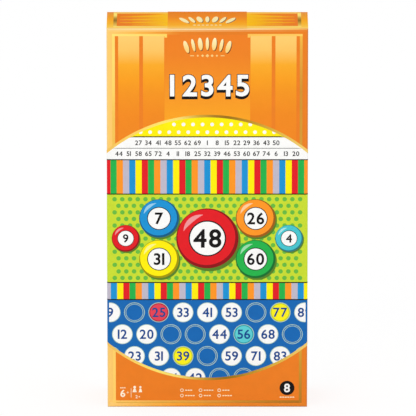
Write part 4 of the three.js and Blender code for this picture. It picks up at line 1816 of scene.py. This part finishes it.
@dataclass
class NumberCards:
    """The stacks of number cards."""

    count: int = 8
    columns: int = 9
    rows: int = 3
    shown: int = 5
    border_inset: float = 2.0
    border_width: float = 0.7
    corner: float = 3.0
    margin: Point = (2.0, 1.4)
    spot_radius: float = 5.3
    spot_line: float = 0.3
    spot_inset: float = 0.55
    empty_ring: Point = (1.0, 0.75)
    digit_height: float = 4.9

    def build(self) -> None:
        """Print every card."""
        blue = Ink("print_card_blue", COLOURS["card_blue"])
        edge = Board("board_card_edge", (206, 198, 182), (156, 144, 122), fleck_share=0.6)
        for number in range(1, self.count + 1):
            face, size = front_of(f"bingo_card_{number}")
            faced(f"bingo_card_{number}", blue, edge)
            layers = self.layers(number, size[[0, 2]])
            printed(f"card_print_{number}", face, layers, Body.BASE)

    def layers(self, number: int, size: np.ndarray) -> list[Layer]:
        """One card's print.

        Args:
            number: Which card it is.
            size: Its width and height.

        Returns:
            Its layers.
        """
        half = size / 2 - self.border_inset
        border = [rounded_rectangle(half - inset, self.corner - inset) for inset in (0.0, self.border_width)]
        pitch_u, pitch_v = (2 * half - self.margin) / (self.columns, self.rows)
        white, mint, numbers = [ribbon(*border, closed=True)], [], []
        radius = self.spot_radius
        for row in range(self.rows):
            for column in range(self.columns):
                at = ((column - (self.columns - 1) / 2) * pitch_u, ((self.rows - 1) / 2 - row) * pitch_v)
                mint.append(ring(radius - self.spot_line, radius, at))
                if (2 * column + row + number) % self.columns < self.shown:
                    white.append(disc(radius - self.spot_inset, at))
                    value = 10 * column + 1 + (3 * row + 4 * number + column) % 9
                    numbers += PLAIN.number(value, self.digit_height, at)
                else:
                    mint.append(ring(*(radius - inset for inset in self.empty_ring), at))
        return [Layer(INKS["white"], white), Layer(INKS["mint"], mint), Layer(INKS["navy"], numbers, 2)]


@dataclass
class CountingChips:
    """The row of see-through chips, each turned finer than its packed disc."""

    per_colour: int = 12
    sides: int = 44
    recess: float = 0.12
    recess_radius: float = 4.9
    recess_slope: float = 0.25
    round_edge: float = 0.32
    edge_steps: int = 3

    def build(self) -> None:
        """Turn all the chips."""
        for name, colour, slot in (
            ("red", (248, 78, 100), Slot.RED_CHIP),
            ("teal", (72, 220, 232), Slot.TEAL_CHIP),
            ("yellow", (255, 250, 52), Slot.YELLOW_CHIP),
        ):
            finish = TintedPlastic(f"tinted_{name}", colour)
            for number in range(1, self.per_colour + 1):
                self.turn(name, number, finish, slot)

    def turn(self, colour: str, number: int, finish: Finish, slot: Slot) -> None:
        """Turn one chip about its axis, which lies across the box.

        Args:
            colour: Its colour's name.
            number: Its number in that colour.
            finish: Its finish.
            slot: Not used.
        """
        node = f"{colour}_chip_{number}"
        low, high = corners_of(node)
        half, _, radius = ((high - low) / 2).tolist()
        hollow, rounding = half - self.recess, self.round_edge
        rim = self.recess_radius + self.recess_slope
        profile = [(0.0, hollow), (self.recess_radius, hollow), (rim, half)]
        turns = [math.pi / 2 * (1 - i / self.edge_steps) for i in range(self.edge_steps + 1)]
        profile += arc(rounding, turns, (radius - rounding, half - rounding))
        profile += [(reach, -across) for reach, across in reversed(profile)]
        mesh = turned_about_x(f"{colour}_chip_disc_{number}", profile, (low + high) / 2, self.sides)
        mesh.materials.append(finish.material())
        piece = joined_to(mesh, Body.BASE)
        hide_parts(node)


def turned_about_x(
    name: str, profile: Sequence[Point], middle: np.ndarray, sides: int, sharp: float = 35.0,
) -> bpy.types.Mesh:
    """A closed mesh turned about a line along X.

    Args:
        name: The mesh's name.
        profile: Points of (radius, place along X), from one end on the axis to the other.
        middle: A point of the axis.
        sides: How many steps the turn has.
        sharp: The angle in degrees from which an edge is sharp.

    Returns:
        The mesh, shaded smooth.
    """
    (_, first), *inner, (_, last) = profile
    rings = [(across, *point) for reach, across in inner for point in circle(reach, sides=sides)]
    points = np.array([(first, 0.0, 0.0), *rings, (last, 0.0, 0.0)]) + middle
    end = len(points) - 1
    faces: list[tuple[int, ...]] = []
    for i, j in zip(range(1, sides + 1), [*range(2, sides + 1), 1]):
        faces.append((0, i, j))
        for start in range(0, end - 1 - sides, sides):
            faces.append((start + i, start + sides + i, start + sides + j, start + j))
        faces.append((end - 1 - sides + i, end, end - 1 - sides + j))
    mesh = bpy.data.meshes.new(name)
    mesh.from_pydata((points * MM).tolist(), [], faces)
    mesh.polygons.foreach_set("use_smooth", [True] * len(mesh.polygons))
    mesh.set_sharp_from_angle(angle=math.radians(sharp))
    return mesh


@dataclass
class RulesLeaflet:
    """The folded rules behind the tray."""

    lines: int = 18
    line_pitch: float = 6.2
    line_height: float = 1.1
    first_line: float = 14.0
    margin: float = 9.0
    heading: Point = (6.0, 1.0)
    heading_share: float = 0.6
    paragraph: int = 6
    short_share: float = 0.35

    def build(self) -> None:
        """Dress the leaflet and print bars in place of text on its front leaf."""
        paper = Board("leaflet_paper", (244, 242, 234), (226, 222, 210), fleck_share=0.15, roughness=0.85)
        dressed("rules_leaflet", paper)
        face, size = front_of("rules_leaflet")
        half_u, _, half_v = size / 2 - self.margin
        wide = half_u * self.heading_share
        bars = [rectangle((-wide, wide), [half_v - drop for drop in self.heading])]
        for i in range(self.lines):
            v = half_v - self.first_line - i * self.line_pitch
            share = self.short_share if (i + 1) % self.paragraph == 0 else 1.0
            bars.append(rectangle((-half_u, -half_u + 2 * half_u * share), (v, v + self.line_height)))
        printed("leaflet_print", face, [Layer(INKS["black"], bars)], Body.BASE)


# The place where it stands


@dataclass(frozen=True)
class Lamp:
    """A square soft lamp: its name, where it stands and its power in watts."""

    name: str
    at: tuple[float, float, float]
    power: float
    size: float = 1600.0


@dataclass
class Studio:
    """The pale floor, the soft light and the camera."""

    elevation: float = 16.0
    distance: float = 6000.0
    lens: float = 768.8
    sensor: float = 36.0
    clip: Point = (0.1, 40.0)
    aim: tuple[float, float, float] = (0.44, 0.0, 133.8)
    dome: float = 0.74
    floor_half: float = 9000.0
    floor_colour: Colour = (250, 250, 250)
    floor_glow: float = 0.78
    glow_level: float = 1.04
    lamps: tuple[Lamp, ...] = (
        Lamp("key", (-1500, -2500, 1000), 18.4),
        Lamp("top", (0, -300, 2700), 7.6),
        Lamp("fill", (2300, -2000, 700), 9.0),
        Lamp("back_left", (-2300, 2100, 500), 9.0),
        Lamp("back_right", (2300, 2100, 500), 9.0),
    )

    def build(self) -> None:
        """Set up the camera, the floor and the light."""
        self.add_camera()
        self.add_floor()
        self.add_dome()
        for lamp in self.lamps:
            self.add_lamp(lamp)
        bpy.context.scene.view_settings.view_transform = "Standard"

    def aimed(self, name: str, data: bpy.types.ID, at: Vector) -> bpy.types.Object:
        """Put a camera or lamp in the scene, pointed at the box.

        Args:
            name: Its name.
            data: The camera or lamp.
            at: Where it stands.

        Returns:
            The object.
        """
        holder = bpy.data.objects.new(name, data)
        holder.location = at * MM
        holder.rotation_mode = "QUATERNION"
        holder.rotation_quaternion = (Vector(self.aim) - at).to_track_quat("-Z", "Y")
        bpy.context.scene.collection.objects.link(holder)
        return holder

    def add_camera(self) -> None:
        """The camera, at the photograph's viewing angle."""
        turn = math.radians(self.elevation)
        back = Vector((0, -math.cos(turn), math.sin(turn)))
        data = bpy.data.cameras.new("camera")
        data.sensor_width = self.sensor
        data.lens = self.lens
        data.clip_start, data.clip_end = self.clip
        bpy.context.scene.camera = self.aimed("camera", data, Vector(self.aim) + back * self.distance)

    def add_lamp(self, lamp: Lamp) -> None:
        """Set up a lamp that points at the box.

        Args:
            lamp: The lamp.
        """
        data = bpy.data.lights.new(lamp.name, "AREA")
        data.shape = "SQUARE"
        data.size = lamp.size * MM
        data.energy = lamp.power
        self.aimed(lamp.name, data, Vector(lamp.at))

    def add_floor(self) -> None:
        """A wide flat floor."""
        half = self.floor_half * MM
        corners = [(-half, -half, 0), (half, -half, 0), (half, half, 0), (-half, half, 0)]
        mesh = bpy.data.meshes.new("floor")
        mesh.from_pydata(corners, [], [(0, 1, 2, 3)])
        mesh.materials.append(self.floor_paper())
        floor = bpy.data.objects.new("floor", mesh)
        bpy.context.scene.collection.objects.link(floor)

    def floor_paper(self) -> bpy.types.Material:
        """White paper that the camera sees lit from within too, so that it stays white with a faint shadow.

        Returns:
            The material.
        """
        shader = Shader("floor_paper")
        shader.surface(Base_Color=linear(self.floor_colour), Roughness=0.9, Specular_IOR_Level=0.1)
        glow = shader.add("ShaderNodeEmission", {"Strength": self.glow_level}).outputs[0]
        seen = shader.add("ShaderNodeLightPath").outputs["Is Camera Ray"]
        share = shader.ranged(seen, (0.0, 1.0), (0.0, self.floor_glow))
        mix = shader.add("ShaderNodeMixShader", {0: share, 1: shader.principled.outputs[0], 2: glow})
        shader.feed(shader.tree.nodes["Material Output"], {"Surface": mix.outputs[0]})
        return shader.material

    def add_dome(self) -> None:
        """A white surround: plain white where it shows or is mirrored, softer where it only lights."""
        world = bpy.data.worlds.new("surround")
        bpy.context.scene.world = world
        world.use_nodes = True
        nodes = Nodes(world.node_tree)
        rays = nodes.add("ShaderNodeLightPath").outputs
        either = {0: rays["Is Glossy Ray"], 1: rays["Is Transmission Ray"]}
        shown = nodes.add("ShaderNodeMath", either, operation="MAXIMUM").outputs[0]
        either = {0: rays["Is Camera Ray"], 1: shown}
        seen = nodes.add("ShaderNodeMath", either, operation="MAXIMUM").outputs[0]
        limits = {"Value": seen, "To Min": self.dome, "To Max": 1.0}
        strength = nodes.add("ShaderNodeMapRange", limits).outputs[0]
        white = linear((255, 255, 255))
        nodes.feed(world.node_tree.nodes["Background"], {"Color": white, "Strength": strength})


def main() -> None:
    """Build the whole game in order."""
    logging.basicConfig(level=logging.INFO, format="%(message)s")
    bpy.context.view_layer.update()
    Studio().build()
    lid_box().build()
    base_box().build()
    CoverPrint().build()
    TopPanelPrint().build()
    SidePrint().build()
    InsertTray().build()
    NumberSpinner().build()
    NumberCards().build()
    CountingChips().build()
    RulesLeaflet().build()


if __name__ == "__main__":
    main()
